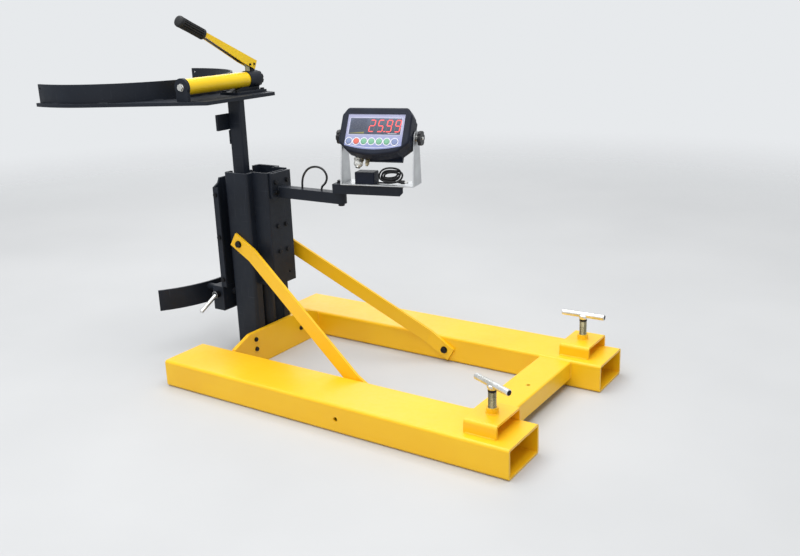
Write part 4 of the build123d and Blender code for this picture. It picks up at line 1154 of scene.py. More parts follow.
@dataclass
class Studio:
    """The camera, the pale floor and the soft lights."""

    eye: Triple = (1.7848, -1.9161, 1.0087)
    azimuth: float = 33.818
    elevation: float = 17.019
    roll: float = -1.984
    lens: float = 40.44
    sensor: float = 36.0
    floor_reach: float = 40.0
    floor_drop: float = 0.0004
    floor_fade: Pair = (1.6, 5.0)
    floor_colours: tuple[Colour, Colour] = ((0.52, 0.53, 0.54, 1.0), (0.55, 0.56, 0.57, 1.0))
    floor_cloud: float = 1.5
    cloud_range: Pair = (0.3, 0.7)
    floor_rough: Pair = (0.6, 0.75)
    floor_specular: float = 0.2
    backdrop: Colour = (0.8, 0.82, 0.84, 1.0)
    sky: float = 0.42
    lamps: tuple[Lamp, ...] = (
        Lamp("overhead", (0.2, -0.3, 4.2), (0.2, 0.0, 0.0), (5.0, 5.0), 250.0),
        Lamp("front", (0.8, -3.6, 2.2), (0.2, 0.0, 0.4), (3.0, 2.5), 32.0),
        Lamp("rear", (-2.8, 3.2, 2.6), (0.1, 0.0, 0.5), (2.5, 2.5), 28.0),
    )

    def build(self) -> None:
        """Sets up everything round the lifter."""
        self.camera()
        self.floor()
        self.world()
        for lamp in self.lamps:
            lamp.hang()
        bpy.context.scene.view_settings.view_transform = "Standard"

    def camera(self) -> None:
        """Puts the camera at the picture's viewpoint."""
        azimuth, elevation, roll = (math.radians(a) for a in (self.azimuth, self.elevation, self.roll))
        level = Vector((math.cos(azimuth), math.sin(azimuth), 0))
        away = Vector((math.sin(azimuth), -math.cos(azimuth), 0))
        back = away * math.cos(elevation) + UP * math.sin(elevation)
        rise = back.cross(level)
        right = level * math.cos(roll) + rise * math.sin(roll)
        up = rise * math.cos(roll) - level * math.sin(roll)
        data = bpy.data.cameras.new("camera")
        data.sensor_fit = "HORIZONTAL"
        data.sensor_width = self.sensor
        data.lens = self.lens
        camera = bpy.data.objects.new("camera", data)
        turn = Matrix((right, up, back)).transposed().to_4x4()
        camera.matrix_world = Matrix.Translation(self.eye) @ turn
        bpy.context.scene.collection.objects.link(camera)
        bpy.context.scene.camera = camera

    def floor(self) -> None:
        """Lays the pale floor just under the lifter's feet."""
        draft = MeshDraft()
        reach = self.floor_reach
        corners = [(reach, reach), (-reach, reach), (-reach, -reach), (reach, -reach)]
        draft.mesh.faces.new([draft.mesh.verts.new((x, y, -self.floor_drop)) for x, y in corners])
        floor = draft.make("floor")
        floor.data.materials.append(self.floor_material())

    def floor_material(self) -> bpy.types.Material:
        """Makes the floor's finish, which fades into the backdrop far from the lifter.

        Returns:
            The material.
        """
        material = bpy.data.materials.new("floor")
        material.use_nodes = True
        nodes = material.node_tree.nodes
        bench = NodeBench(material.node_tree)
        shader = nodes["Principled BSDF"]
        cloud = bench.span(bench.noise(self.floor_cloud, detail=4.0), self.cloud_range, SHARE)
        bench.feed(shader.inputs["Base Color"], bench.mix(cloud, *self.floor_colours))
        bench.feed(shader.inputs["Roughness"], bench.span(cloud, SHARE, self.floor_rough))
        bench.feed(shader.inputs["Specular IOR Level"], self.floor_specular)
        distance = bench.add("ShaderNodeVectorMath", operation="LENGTH")
        bench.feed(distance.inputs[0], bench.place())
        fade = bench.span(distance.outputs["Value"], self.floor_fade, SHARE)
        clear = bench.add("ShaderNodeBsdfTransparent")
        bench.feed(nodes["Material Output"].inputs["Surface"], bench.blend(fade, shader, clear))
        return material

    def world(self) -> None:
        """Lights the lifter softly from all round, and shows a pale background."""
        world = bpy.data.worlds.new("studio")
        world.use_nodes = True
        bpy.context.scene.world = world
        nodes = world.node_tree.nodes
        bench = NodeBench(world.node_tree)
        light = nodes["Background"]
        bench.feed(light.inputs["Color"], WHITE)
        bench.feed(light.inputs["Strength"], self.sky)
        seen = bench.add("ShaderNodeBackground")
        bench.feed(seen.inputs["Color"], self.backdrop)
        rays = bench.add("ShaderNodeLightPath").outputs
        watched = bench.combine("MAXIMUM", rays["Is Camera Ray"], rays["Is Glossy Ray"])
        watched = bench.combine("MAXIMUM", watched, rays["Is Transmission Ray"])
        bench.feed(nodes["World Output"].inputs["Surface"], bench.blend(watched, light, seen))


@dataclass
class Cords:
    """The arm's looped cable and the adapter's hank with its plug."""

    round_steps: int = 5
    bend_steps: int = 8
    spline_order: int = 3
    cable_wire: float = 6.0
    cable_length: float = 0.19
    cable_route: tuple[Pair, ...] = (
        (183, 521), (183, 541), (192, 564), (212, 582), (240, 587),
        (262, 580), (274, 562), (267, 542), (251, 531), (251, 521),
    )
    hank_wire: float = 5.0
    hank_length: float = 0.622
    hank_roll: float = math.radians(40.0)
    hank_exit: Triple = (113.0, -14.0, 554.5)
    hank_lead: float = 20.0
    lead_bend: float = 9.0
    half_turns: int = 8
    turn_steps: int = 7
    outer_reach: float = 24.5
    step_in: float = 3.9
    half_run: float = 9.0
    middle: Pair = (13.0, 24.2)
    squareness: float = 0.85
    layer: float = 5.6
    fan: float = 0.9
    tail_bend: float = 30.0
    tail: float = 41.0
    boot_start: Pair = (0.2, -0.5)
    boot_ribs: int = 4
    rib_pitch: float = 1.6
    rib_width: float = 0.9
    rib_rise: float = 0.5
    rib_growth: float = 0.3
    groove: Pair = (0.25, 1.1)
    plug_radius: float = 5.0
    plug_length: float = 18.0
    plug_shoulder: Profile = ((-0.6, 7.0), (0.0, 7.8))
    plug_end: Profile = ((0.0, -0.8), (-0.8, 0.0))
    tip_radius: float = 2.8
    tip_length: float = 9.0
    tip_overlap: float = 0.5
    tip_rim: Profile = ((0.0, -0.5), (-0.4, 0.0))
    tip_bore: float = 1.2
    bore_depth: float = 5.0

    @property
    def hank_basis(self) -> Basis:
        """Gives the plane that the hank's loops lean in, from the yoke upwards.

        Returns:
            The plane, with X along the lead and Z up through the loops' layers.
        """
        exit_spot = tray_basis.spot(*self.hank_exit)
        lift = UP * math.cos(self.hank_roll) - tray_basis.y * math.sin(self.hank_roll)
        return Basis(exit_spot + tray_basis.x * self.hank_lead, tray_basis.x, lift)

    @property
    def plug_basis(self) -> Basis:
        """Gives the plug's place at the end of the tail."""
        hank = self.hank_basis
        return Basis(hank.spot(self.tail, 0.0, self.layer), hank.y, hank.x)

    def build(self, shop: Workshop) -> None:
        """Lays both cords and what is on them.

        Args:
            shop: finishes and fixes the pieces.
        """
        route = [Vector((x, 0, z)) * MM for x, z in self.cable_route]
        cable = self.spline("arm_cable_cord", route, self.cable_wire)
        shop.place(cable, "frame", Coat.CORD, ["arm_cable"])
        hank = self.spline("adapter_hank_cord", self.hank_route(), self.hank_wire)
        shop.place(hank, "tray", Coat.CORD, ["cable_hank"])
        plug = shop.place(self.plug(), "tray", Coat.CORD, ["cord_plug"])
        tip = shop.place(self.tip(), "tray", Coat.ZINC)
        tray_basis.at(*self.hank_exit)

    def spline(self, name: str, points: Sequence[Vector], wire: float) -> Piece:
        """Draws a cord that follows its control points.

        Args:
            name: the piece's name.
            points: the control points in metres.
            wire: the cord's diameter in millimetres.

        Returns:
            The cord as a curve of one open spline.
        """
        data = bpy.data.curves.new(name, "CURVE")
        data.dimensions = "3D"
        data.bevel_depth = wire / 2 * MM
        data.bevel_resolution = self.round_steps
        data.resolution_u = self.bend_steps
        data.use_fill_caps = True
        line = data.splines.new("NURBS")
        line.points.add(len(points) - 1)
        for point, place in zip(line.points, points):
            point.co = (*place, 1.0)
        line.order_u = self.spline_order
        line.use_endpoint_u = True
        cord = bpy.data.objects.new(name, data)
        bpy.context.scene.collection.objects.link(cord)
        return cord

    def hank_route(self) -> list[Vector]:
        """Gives the hank's control points.

        Returns:
            The points of its lead, its turns and its tail, in metres.
        """
        basis = self.hank_basis
        points = [basis.at(x - self.hank_lead) for x in (0.0, self.lead_bend, self.hank_lead)]
        for step in range(self.half_turns * self.turn_steps + 1):
            turn = step / self.turn_steps
            late = turn - self.half_turns / 2
            reach = self.outer_reach - self.step_in * (self.half_turns / 2 - abs(late))
            swing = math.sin(math.pi * turn)
            side = -math.cos(math.pi * turn)
            along = math.copysign((self.half_run + reach) * abs(swing) ** self.squareness, swing)
            across = math.copysign(reach * abs(side) ** self.squareness, side)
            climb = min(1.0, max(0.0, late + 0.5))
            height = self.layer * climb * climb * (3 - 2 * climb) + self.fan * late * (side + 1) / 2
            points.append(basis.at(self.middle[0] + along, self.middle[1] + across, height))
        points += [basis.at(x, 0.0, self.layer) for x in (self.tail_bend, self.tail)]
        return points

    def plug(self) -> Piece:
        """Makes the moulded plug body with its ribbed boot.

        Returns:
            The new piece.
        """
        wire = self.hank_wire / 2
        groove_rise, groove_start = self.groove
        profile = shifted([self.boot_start], wire)
        for rib in range(self.boot_ribs):
            start = rib * self.rib_pitch
            radius = wire + self.rib_rise + self.rib_growth * rib
            profile += [(radius, start), (radius, start + self.rib_width)]
            profile += [(wire + groove_rise, start + groove_start)]
        profile += shifted(self.plug_shoulder, self.plug_radius)
        profile += shifted(self.plug_end, self.plug_radius, self.plug_length)
        return MeshDraft().turned(self.plug_basis, profile, sides=32).make("adapter_plug")

    def tip(self) -> Piece:
        """Makes the plug's metal barrel with its hollow end.

        Returns:
            The new piece.
        """
        end = self.plug_length + self.tip_length
        profile = [(self.tip_radius, self.plug_length - self.tip_overlap)]
        profile += shifted(self.tip_rim, self.tip_radius, end)
        profile += [(self.tip_bore, end), (self.tip_bore, end - self.bore_depth)]
        return MeshDraft().turned(self.plug_basis, profile, sides=28).make("adapter_plug_tip")


@dataclass
class FrameWork:
    """The yellow fork frame: pockets, cross tube, plate, saddles and braces, with their welds."""

    pocket_inner: float = 190.5
    pocket_top: float = 76.2
    plate_faces: Pair = (42.5, 54.5)
    plate_weld: Pair = (6.0, 70.0)
    cross_ends: Pair = (823.3, 915.3)
    cross_weld: Pair = (27.5, 71.5)
    saddle_weld: Pair = (873.5, 949.5)
    saddle_half: float = 61.0
    saddle_top: float = 109.2
    nut_radius: float = 14.5
    nut_runs: int = 16
    nut_share: float = 0.7
    weld: float = 2.6

    def build(self, shop: Workshop) -> None:
        """Dresses the frame and lays its welds.

        Args:
            shop: finishes and fixes the pieces.
        """
        shop.dress(
            Coat.YELLOW, "left_fork_pocket", "right_fork_pocket", "rear_cross_tube", "front_plate",
            "left_screw_saddle", "right_screw_saddle", "left_brace", "right_brace",
        )
        for welds in (self.plate_welds(), self.cross_welds(), self.saddle_welds()):
            shop.place(welds, "frame", Coat.YELLOW)

    def plate_welds(self) -> Piece:
        """Lays the upright welds between the front plate and the pockets.

        Returns:
            The new piece.
        """
        draft = MeshDraft()
        for index, side in enumerate(SIDES):
            for x in self.plate_faces:
                run = upright(x, side * self.pocket_inner, self.plate_weld)
                draft.bead(run, self.weld, WeldSeed.PLATE + index)
        return draft.make("front_plate_welds", WELD_CREASE)

    def cross_welds(self) -> Piece:
        """Lays the welds round the ends of the cross tube.

        Returns:
            The new piece.
        """
        draft = MeshDraft()
        near, far = self.cross_ends
        for index, side in enumerate(SIDES):
            y = side * self.pocket_inner
            run = upright(near, y, self.cross_weld) + upright(far, y, self.cross_weld[::-1])
            draft.bead(run, self.weld, WeldSeed.CROSS + index)
        return draft.make("cross_tube_welds", WELD_CREASE)

    def saddle_welds(self) -> Piece:
        """Lays the welds along the saddles' feet and round their nuts.

        Returns:
            The new piece.
        """
        draft = MeshDraft()
        for index, middle in enumerate(SCREW_MIDDLES):
            for side in SIDES:
                y = middle + side * self.saddle_half
                ends = [Vector((x, y, self.pocket_top)) for x in self.saddle_weld]
                draft.bead(ends, self.weld, WeldSeed.SADDLE + index)
            nut = looking((SCREW_X, middle, self.saddle_top), UP)
            ring = [nut.spot(x, y) for x, y in circle(self.nut_radius, self.nut_runs)]
            draft.bead(ring + ring[:1], self.nut_share * self.weld, WeldSeed.NUT + index)
        return draft.make("saddle_welds", WELD_CREASE)


@dataclass
class ClampScrews:
    """The two threaded clamp screws with their collars and cross bars."""

    turns: Pair = (-24.0, 2.0)
    radius: float = 10.0
    depth: float = 1.1
    pitch: float = 2.5
    tip: float = 56.0
    top: float = 168.0
    nub_radius: float = 5.0
    nub: Profile = ((-0.6, -6.0), (0.0, -5.2), (0.0, 1.0))
    collar_radius: float = 12.5
    collar_low: float = 167.0
    collar_high: float = 179.5
    collar_foot: Profile = ((-2.5, 0.0), (-1.2, 2.5), (0.0, 7.0))
    collar_rim: Profile = ((0.0, -1.5), (-2.0, 0.0))
    collar_band_gap: float = 0.25
    collar_band: Profile = ((-0.6, -6.0), (0.0, -5.2), (0.0, 0.5))
    bar_level: float = 179.0
    bar_radius: float = 8.0
    bar_half: float = 60.0
    bar_chamfer: float = 1.6
    # Dark discs over the cross bar's end faces, as painted shade where the end faces lie in shadow.
    end_shade_gap: float = 0.1
    end_shade: Profile = ((1.0, -1.0), (1.0, 0.12), (0.5, 0.2))

    def build(self, shop: Workshop) -> None:
        """Makes both screws and dresses their pads.

        Args:
            shop: finishes and fixes the pieces.
        """
        for name, middle, turn in zip(("left", "right"), SCREW_MIDDLES, self.turns):
            body = f"{name}_clamp_screw"
            axis = looking((SCREW_X, middle, 0), UP)
            heading = Vector((math.cos(math.radians(turn)), math.sin(math.radians(turn)), 0))
            bar = looking(axis.spot(z=self.bar_level), heading)
            shop.place(self.rod(f"{name}_screw_rod", axis), body, Coat.OILED, [body])
            shop.place(self.handle(f"{name}_screw_handle", axis, bar), body, Coat.ZINC)
            # Painted shade on the cross bar's end faces, with a dark band under the collar.
            shop.place(self.dark_band_and_painted_shade(f"{name}_screw_dark_faces", axis, bar), body, Coat.BOLT)
            shop.dress(Coat.ZINC, f"{name}_clamp_pad")

    def rod(self, name: str, axis: Basis) -> Piece:
        """Makes the threaded rod with its plain nub.

        Args:
            name: the piece's name.
            axis: the screw's axis.

        Returns:
            The new piece.
        """
        draft = MeshDraft()
        draft.thread(axis, self.radius, self.depth, self.pitch, (self.tip, self.top))
        draft.turned(axis, shifted(self.nub, self.nub_radius, self.tip))
        return draft.make(name, SCREW_CREASE)

    def handle(self, name: str, axis: Basis, bar: Basis) -> Piece:
        """Makes the collar and the cross bar with its chamfered ends.

        Args:
            name: the piece's name.
            axis: the screw's axis.
            bar: the cross bar's axis.

        Returns:
            The new piece.
        """
        collar = shifted(self.collar_foot, self.collar_radius, self.collar_low)
        collar += shifted(self.collar_rim, self.collar_radius, self.collar_high)
        face = self.bar_radius - self.bar_chamfer
        run = self.bar_half - self.bar_chamfer
        rod = [(face, -self.bar_half), (self.bar_radius, -run)]
        rod += [(self.bar_radius, run), (face, self.bar_half)]
        return MeshDraft().turned(axis, collar).turned(bar, rod).make(name)

    def dark_band_and_painted_shade(self, name: str, axis: Basis, bar: Basis) -> Piece:
        """Makes the dark band on the thread just under the collar, and dark discs on the cross bar's end
        faces as painted shade.

        Args:
            name: the piece's name.
            axis: the screw's axis.
            bar: the cross bar's axis.

        Returns:
            The new piece.
        """
        draft = MeshDraft()
        draft.turned(axis, shifted(self.collar_band, self.radius + self.collar_band_gap, self.collar_low))
        # Painted shade: dark discs over the cross bar's end faces.
        face = self.bar_radius - self.bar_chamfer - self.end_shade_gap
        for end in SIDES:
            out = end * self.bar_half
            profile = [(share * face, out + rise * end) for share, rise in self.end_shade]
            draft.turned(bar, profile, sides=32)
        return draft.make(name)


@dataclass
class Mast:
    """The black mast with its cover, foot, cylinder and indicator arm."""

    ear_face: float = 30.5
    ear_weld: Pair = (4.0, 90.0)
    mast_half: float = 75.0
    arm_half: float = 15.0
    arm_middle: float = 506.0
    arm_share: float = 0.9
    weld: float = 2.4

    def build(self, shop: Workshop) -> None:
        """Dresses the mast and lays its welds.

        Args:
            shop: finishes and fixes the pieces.
        """
        shop.dress(
            Coat.BLACK, "left_mast_channel", "right_mast_channel", "mast_foot", "mast_cover",
            "lift_cylinder", "indicator_arm",
        )
        draft = MeshDraft()
        for index, side in enumerate(SIDES):
            run = upright(self.ear_face, side * self.mast_half, self.ear_weld)
            draft.bead(run, self.weld, WeldSeed.MAST + index)
        half = self.arm_half
        square = ((-half, -half), (half, -half), (half, half), (-half, half), (-half, -half))
        root = [Vector((ARM_ROOT, y, self.arm_middle + z)) for y, z in square]
        draft.bead(root, self.arm_share * self.weld, WeldSeed.ARM)
        shop.place(draft.make("mast_welds", WELD_CREASE), "frame", Coat.BLACK)


@dataclass
class Carriage:
    """The lifting carriage, its rollers and the drum holder."""

    drum_axis: float = -468.5
    band_radius: float = 306.0
    plate_top: float = 769.0
    stitch_count: int = 7
    stitch_span: float = 170.0
    stitch: float = 5.0
    bar_face: float = -65.5
    bar_weld: Pair = (634.0, 673.0)
    post_half: float = 12.0
    weld: float = 2.4
    lever_hub: Triple = (-86.25, -97.3, 198.0)
    hub_radius: float = 10.3
    hub_height: float = 15.4
    hub_chamfer: float = 1.5
    hub_gap: float = 0.2

    def build(self, shop: Workshop) -> None:
        """Dresses the carriage, lays its welds and makes the clamp lever's sleeve.

        Args:
            shop: finishes and fixes the pieces.
        """
        shop.dress(
            Coat.BLACK, "carriage_plate", "saddle_block", "drum_post", "carriage_spine", "top_plate",
            "drum_band", "lower_saddle",
        )
        shop.dress(Coat.ZINC, "upper_rollers", "lower_rollers", "load_cell", "clamp_lever")
        shop.dress(Coat.GROUND, "lift_rod")
        shop.place(self.band_welds(), "carriage", Coat.BLACK)
        shop.place(self.bar_welds(), "carriage", Coat.BLACK)
        shop.place(self.lever_sleeve(), "clamp_lever", Coat.BOLT)

    def band_welds(self) -> Piece:
        """Lays the short welds that hold the drum band to its plate.

        Returns:
            The new piece.
        """
        draft = MeshDraft()
        for index in range(self.stitch_count):
            middle = self.stitch_span * (index / (self.stitch_count - 1) - 0.5)
            run = []
            for shift in (-1, 0, 1):
                angle = math.radians(middle + shift * self.stitch / 2)
                x = self.drum_axis + self.band_radius * math.cos(angle)
                run.append(Vector((x, self.band_radius * math.sin(angle), self.plate_top)))
            draft.bead(run, self.weld, WeldSeed.BAND + index)
        return draft.make("drum_band_welds", WELD_CREASE)

    def bar_welds(self) -> Piece:
        """Lays the welds between the post and its bar.

        Returns:
            The new piece.
        """
        draft = MeshDraft()
        for index, side in enumerate(SIDES):
            run = upright(self.bar_face, side * self.post_half, self.bar_weld)
            draft.bead(run, self.weld, WeldSeed.BAR + index)
        return draft.make("post_bar_welds", WELD_CREASE)

    def lever_sleeve(self) -> Piece:
        """Makes the dark sleeve on the clamp lever's hub.

        Returns:
            The new piece.
        """
        radius, height, chamfer = self.hub_radius, self.hub_height, self.hub_chamfer
        profile = [(radius, self.hub_gap), (radius, height - chamfer), (radius - chamfer, height)]
        return MeshDraft().turned(looking(self.lever_hub, (0, -1, 0)), profile).make("clamp_lever_sleeve")


@dataclass
class HandPump:
    """The hand pump with its lever, fluted grip and release knob."""

    tube_start: float = -150.0
    ring_radius: float = 23.6
    ring_rim: Profile = ((0.0, -0.4), (0.0, 1.4), (-0.8, 2.0))
    ring_bore: Pair = (22.0, 2.2)
    pivot: Triple = (PUMP_X, 127.0, 850.0)
    lever_angle: float = math.radians(24.5)
    lever_length: float = 208.0
    grip_rise: float = 7.2
    grip_length: float = 97.0
    grip_radius: float = 16.0
    grip_collar: Profile = ((-2.2, 0.0), (-0.6, 1.4), (-0.6, 7.0), (-1.8, 9.0))
    grip_flare: Profile = ((-1.6, -13.0), (-0.2, -11.0), (0.0, -6.0), (-1.2, -2.0), (-5.0, 0.0))
    flutes: int = 14
    flute_depth: float = 0.2
    flute_start: Profile = ((-1.4, 7.0), (-0.7, 9.0))
    flute_waist: float = 0.9
    flute_end: Profile = ((-0.5, -14.0), (-1.4, -11.0))
    channel_half: float = 7.4
    channel_ends: Triple = (34.0, 45.0, 200.5)
    channel_lows: Pair = (-12.3, 0.1)
    # A black strip set just inside the lever's channel, as painted shade where the channel's inside lies
    # in shadow.
    painted_shade_set_in: float = 0.3
    painted_shade_depth: float = 1.2

    @property
    def lever_basis(self) -> Basis:
        """Gives the lever's place at its pivot, with X along the lever and Y up from it."""
        along = Vector((0, -math.cos(self.lever_angle), math.sin(self.lever_angle)))
        return Basis(Vector(self.pivot), along, Vector((-1, 0, 0)))

    @property
    def grip_basis(self) -> Basis:
        """Gives the grip's axis from the lever's end outwards."""
        lever = self.lever_basis
        return Basis(lever.spot(self.lever_length, self.grip_rise), -lever.z, lever.x)

    def build(self, shop: Workshop) -> None:
        """Dresses the pump and makes its grip, a black strip of painted shade in the lever's channel, and
        its bright ring.

        Args:
            shop: finishes and fixes the pieces.
        """
        shop.dress(Coat.LEMON, "pump_tube", "pump_lever")
        shop.dress(Coat.BLACK, "pump_end_cap", "pump_head")
        shop.dress(Coat.OILED, "pump_plunger")
        shop.dress(Coat.KNOB, "release_knob")
        shop.dress(Coat.BOLT, "lever_pins")
        shop.place(self.grip(), "pump_lever", Coat.RUBBER, ["lever_grip"])
        # Painted shade: a black strip inside the lever's channel.
        shop.place(self.painted_shade(), "pump_lever", Coat.BLACK)
        shop.place(self.ring(), "carriage", Coat.ZINC)

    def grip(self) -> Piece:
        """Makes the grip with lengthwise flutes, a plain collar and a flared end.

        Returns:
            The new piece.
        """
        radius, length = self.grip_radius, self.grip_length
        waist = (radius - self.flute_waist, 0.5 * length)
        fluted = [*shifted(self.flute_start, radius), waist, *shifted(self.flute_end, radius, length)]
        draft = MeshDraft()
        draft.turned(self.grip_basis, shifted(self.grip_collar, radius), sides=64)
        draft.turned(self.grip_basis, fluted, sides=192, lobe=lobes(self.flutes, self.flute_depth))
        draft.turned(self.grip_basis, shifted(self.grip_flare, radius, length), sides=64)
        return draft.make("pump_lever_grip", GRIP_CREASE)

    def painted_shade(self) -> Piece:
        """Makes a black strip inside the lever's downward-open channel, as painted shade where the
        channel's inside lies in shadow.

        Returns:
            The new piece.
        """
        start, knee, end = self.channel_ends
        low, tip_low = (level + self.painted_shade_set_in for level in self.channel_lows)
        lower = [(start, low), (knee, low), (end, tip_low)]
        upper = [(x, y + self.painted_shade_depth) for x, y in reversed(lower)]
        faces = (-self.channel_half, self.channel_half)
        return MeshDraft().slab(self.lever_basis, lower + upper, faces).make("pump_lever_underside")

    def ring(self) -> Piece:
        """Makes the bright sealing ring where the tube meets its cap.

        Returns:
            The new piece.
        """
        seat = looking((PUMP_X, self.tube_start, PUMP_LEVEL), (0, 1, 0))
        profile = [*shifted(self.ring_rim, self.ring_radius), self.ring_bore]
        return MeshDraft().turned(seat, profile, sides=64).make("pump_tube_ring")


@dataclass(frozen=True)
class BoltRow:
    """Bolts on both sides of a face that looks along X, one above another."""

    face: float
    reach: float
    levels: Pair

    def seats(self) -> list[Basis]:
        """Gives the bolts' seats."""
        spots = [(self.face, side * self.reach, level) for side in SIDES for level in self.levels]
        return [looking(spot, (1, 0, 0)) for spot in spots]


@dataclass
class Fasteners:
    """The six-sided bolts of the frame and of the carriage, with each head's radius and height."""

    big: Pair = (10.5, 7.0)
    small: Pair = (7.0, 5.0)
    plate_row: BoltRow = BoltRow(54.5, 102.0, (50.0, 80.0))
    cover_row: BoltRow = BoltRow(97.5, 17.0, (332.0, 407.0))
    bracket_row: BoltRow = BoltRow(ARM_ROOT, 24.0, (507.0, 536.0))
    brace_top: Triple = (0.0, 83.0, 357.0)
    brace_foot: Triple = (525.0, 182.5, 37.0)
    pivot_top: float = 548.3
    arm_bottom: float = 491.0
    flange_x: float = -62.0
    flange_half: float = 95.0
    flange_levels: Triple = (245.0, 373.0, 499.0)
    foot_half: float = 26.0
    foot_spots: Pair = (32.0, 138.0)
    foot_top: float = 776.0
    cap_end: float = -160.0

    def build(self, shop: Workshop) -> None:
        """Makes both sets of bolts and the pump cap's bright nut.

        Args:
            shop: finishes and fixes the pieces.
        """
        shop.place(self.frame_set(), "frame", Coat.BOLT, ["frame_bolts"])
        shop.place(self.carriage_set(), "carriage", Coat.BOLT, ["carriage_bolts"])
        shop.place(self.cap_nut(), "carriage", Coat.ZINC, ["carriage_bolts"])

    def frame_set(self) -> Piece:
        """Makes the bolts of the front plate, cover, arm bracket, braces and arm pivot.

        Returns:
            The new piece.
        """
        draft = MeshDraft()
        for row in (self.plate_row, self.cover_row, self.bracket_row):
            for seat in row.seats():
                draft.hex_head(seat, *self.small)
        for side in SIDES:
            for (x, y, z), outward in ((self.brace_top, side), (self.brace_foot, -side)):
                draft.hex_head(looking((x, side * y, z), (0, outward, 0)), *self.big)
        draft.hex_head(looking((TRAY_PIVOT, 0, self.pivot_top), UP), *self.big)
        draft.hex_head(looking((TRAY_PIVOT, 0, self.arm_bottom), -UP), *self.big)
        return draft.make("frame_bolt_heads", BOLT_CREASE)

    def carriage_set(self) -> Piece:
        """Makes the bolts of the carriage's flanges and of the pump's foot.

        Returns:
            The new piece.
        """
        draft = MeshDraft()
        for side in SIDES:
            for level in self.flange_levels:
                flange = looking((self.flange_x, side * self.flange_half, level), (0, side, 0))
                draft.hex_head(flange, *self.small)
            for y in self.foot_spots:
                foot = looking((PUMP_X + side * self.foot_half, y, self.foot_top), UP)
                draft.hex_head(foot, *self.small)
        return draft.make("carriage_bolt_heads", BOLT_CREASE)

    def cap_nut(self) -> Piece:
        """Makes the bright nut in the end of the pump's cap."""
        seat = looking((PUMP_X, self.cap_end, PUMP_LEVEL), (0, -1, 0))
        return MeshDraft().hex_head(seat, *self.big).make("pump_cap_nut", BOLT_CREASE)


LIT_SEGMENTS = {"2": "abged", "5": "afgcd", "9": "abcdfg"}


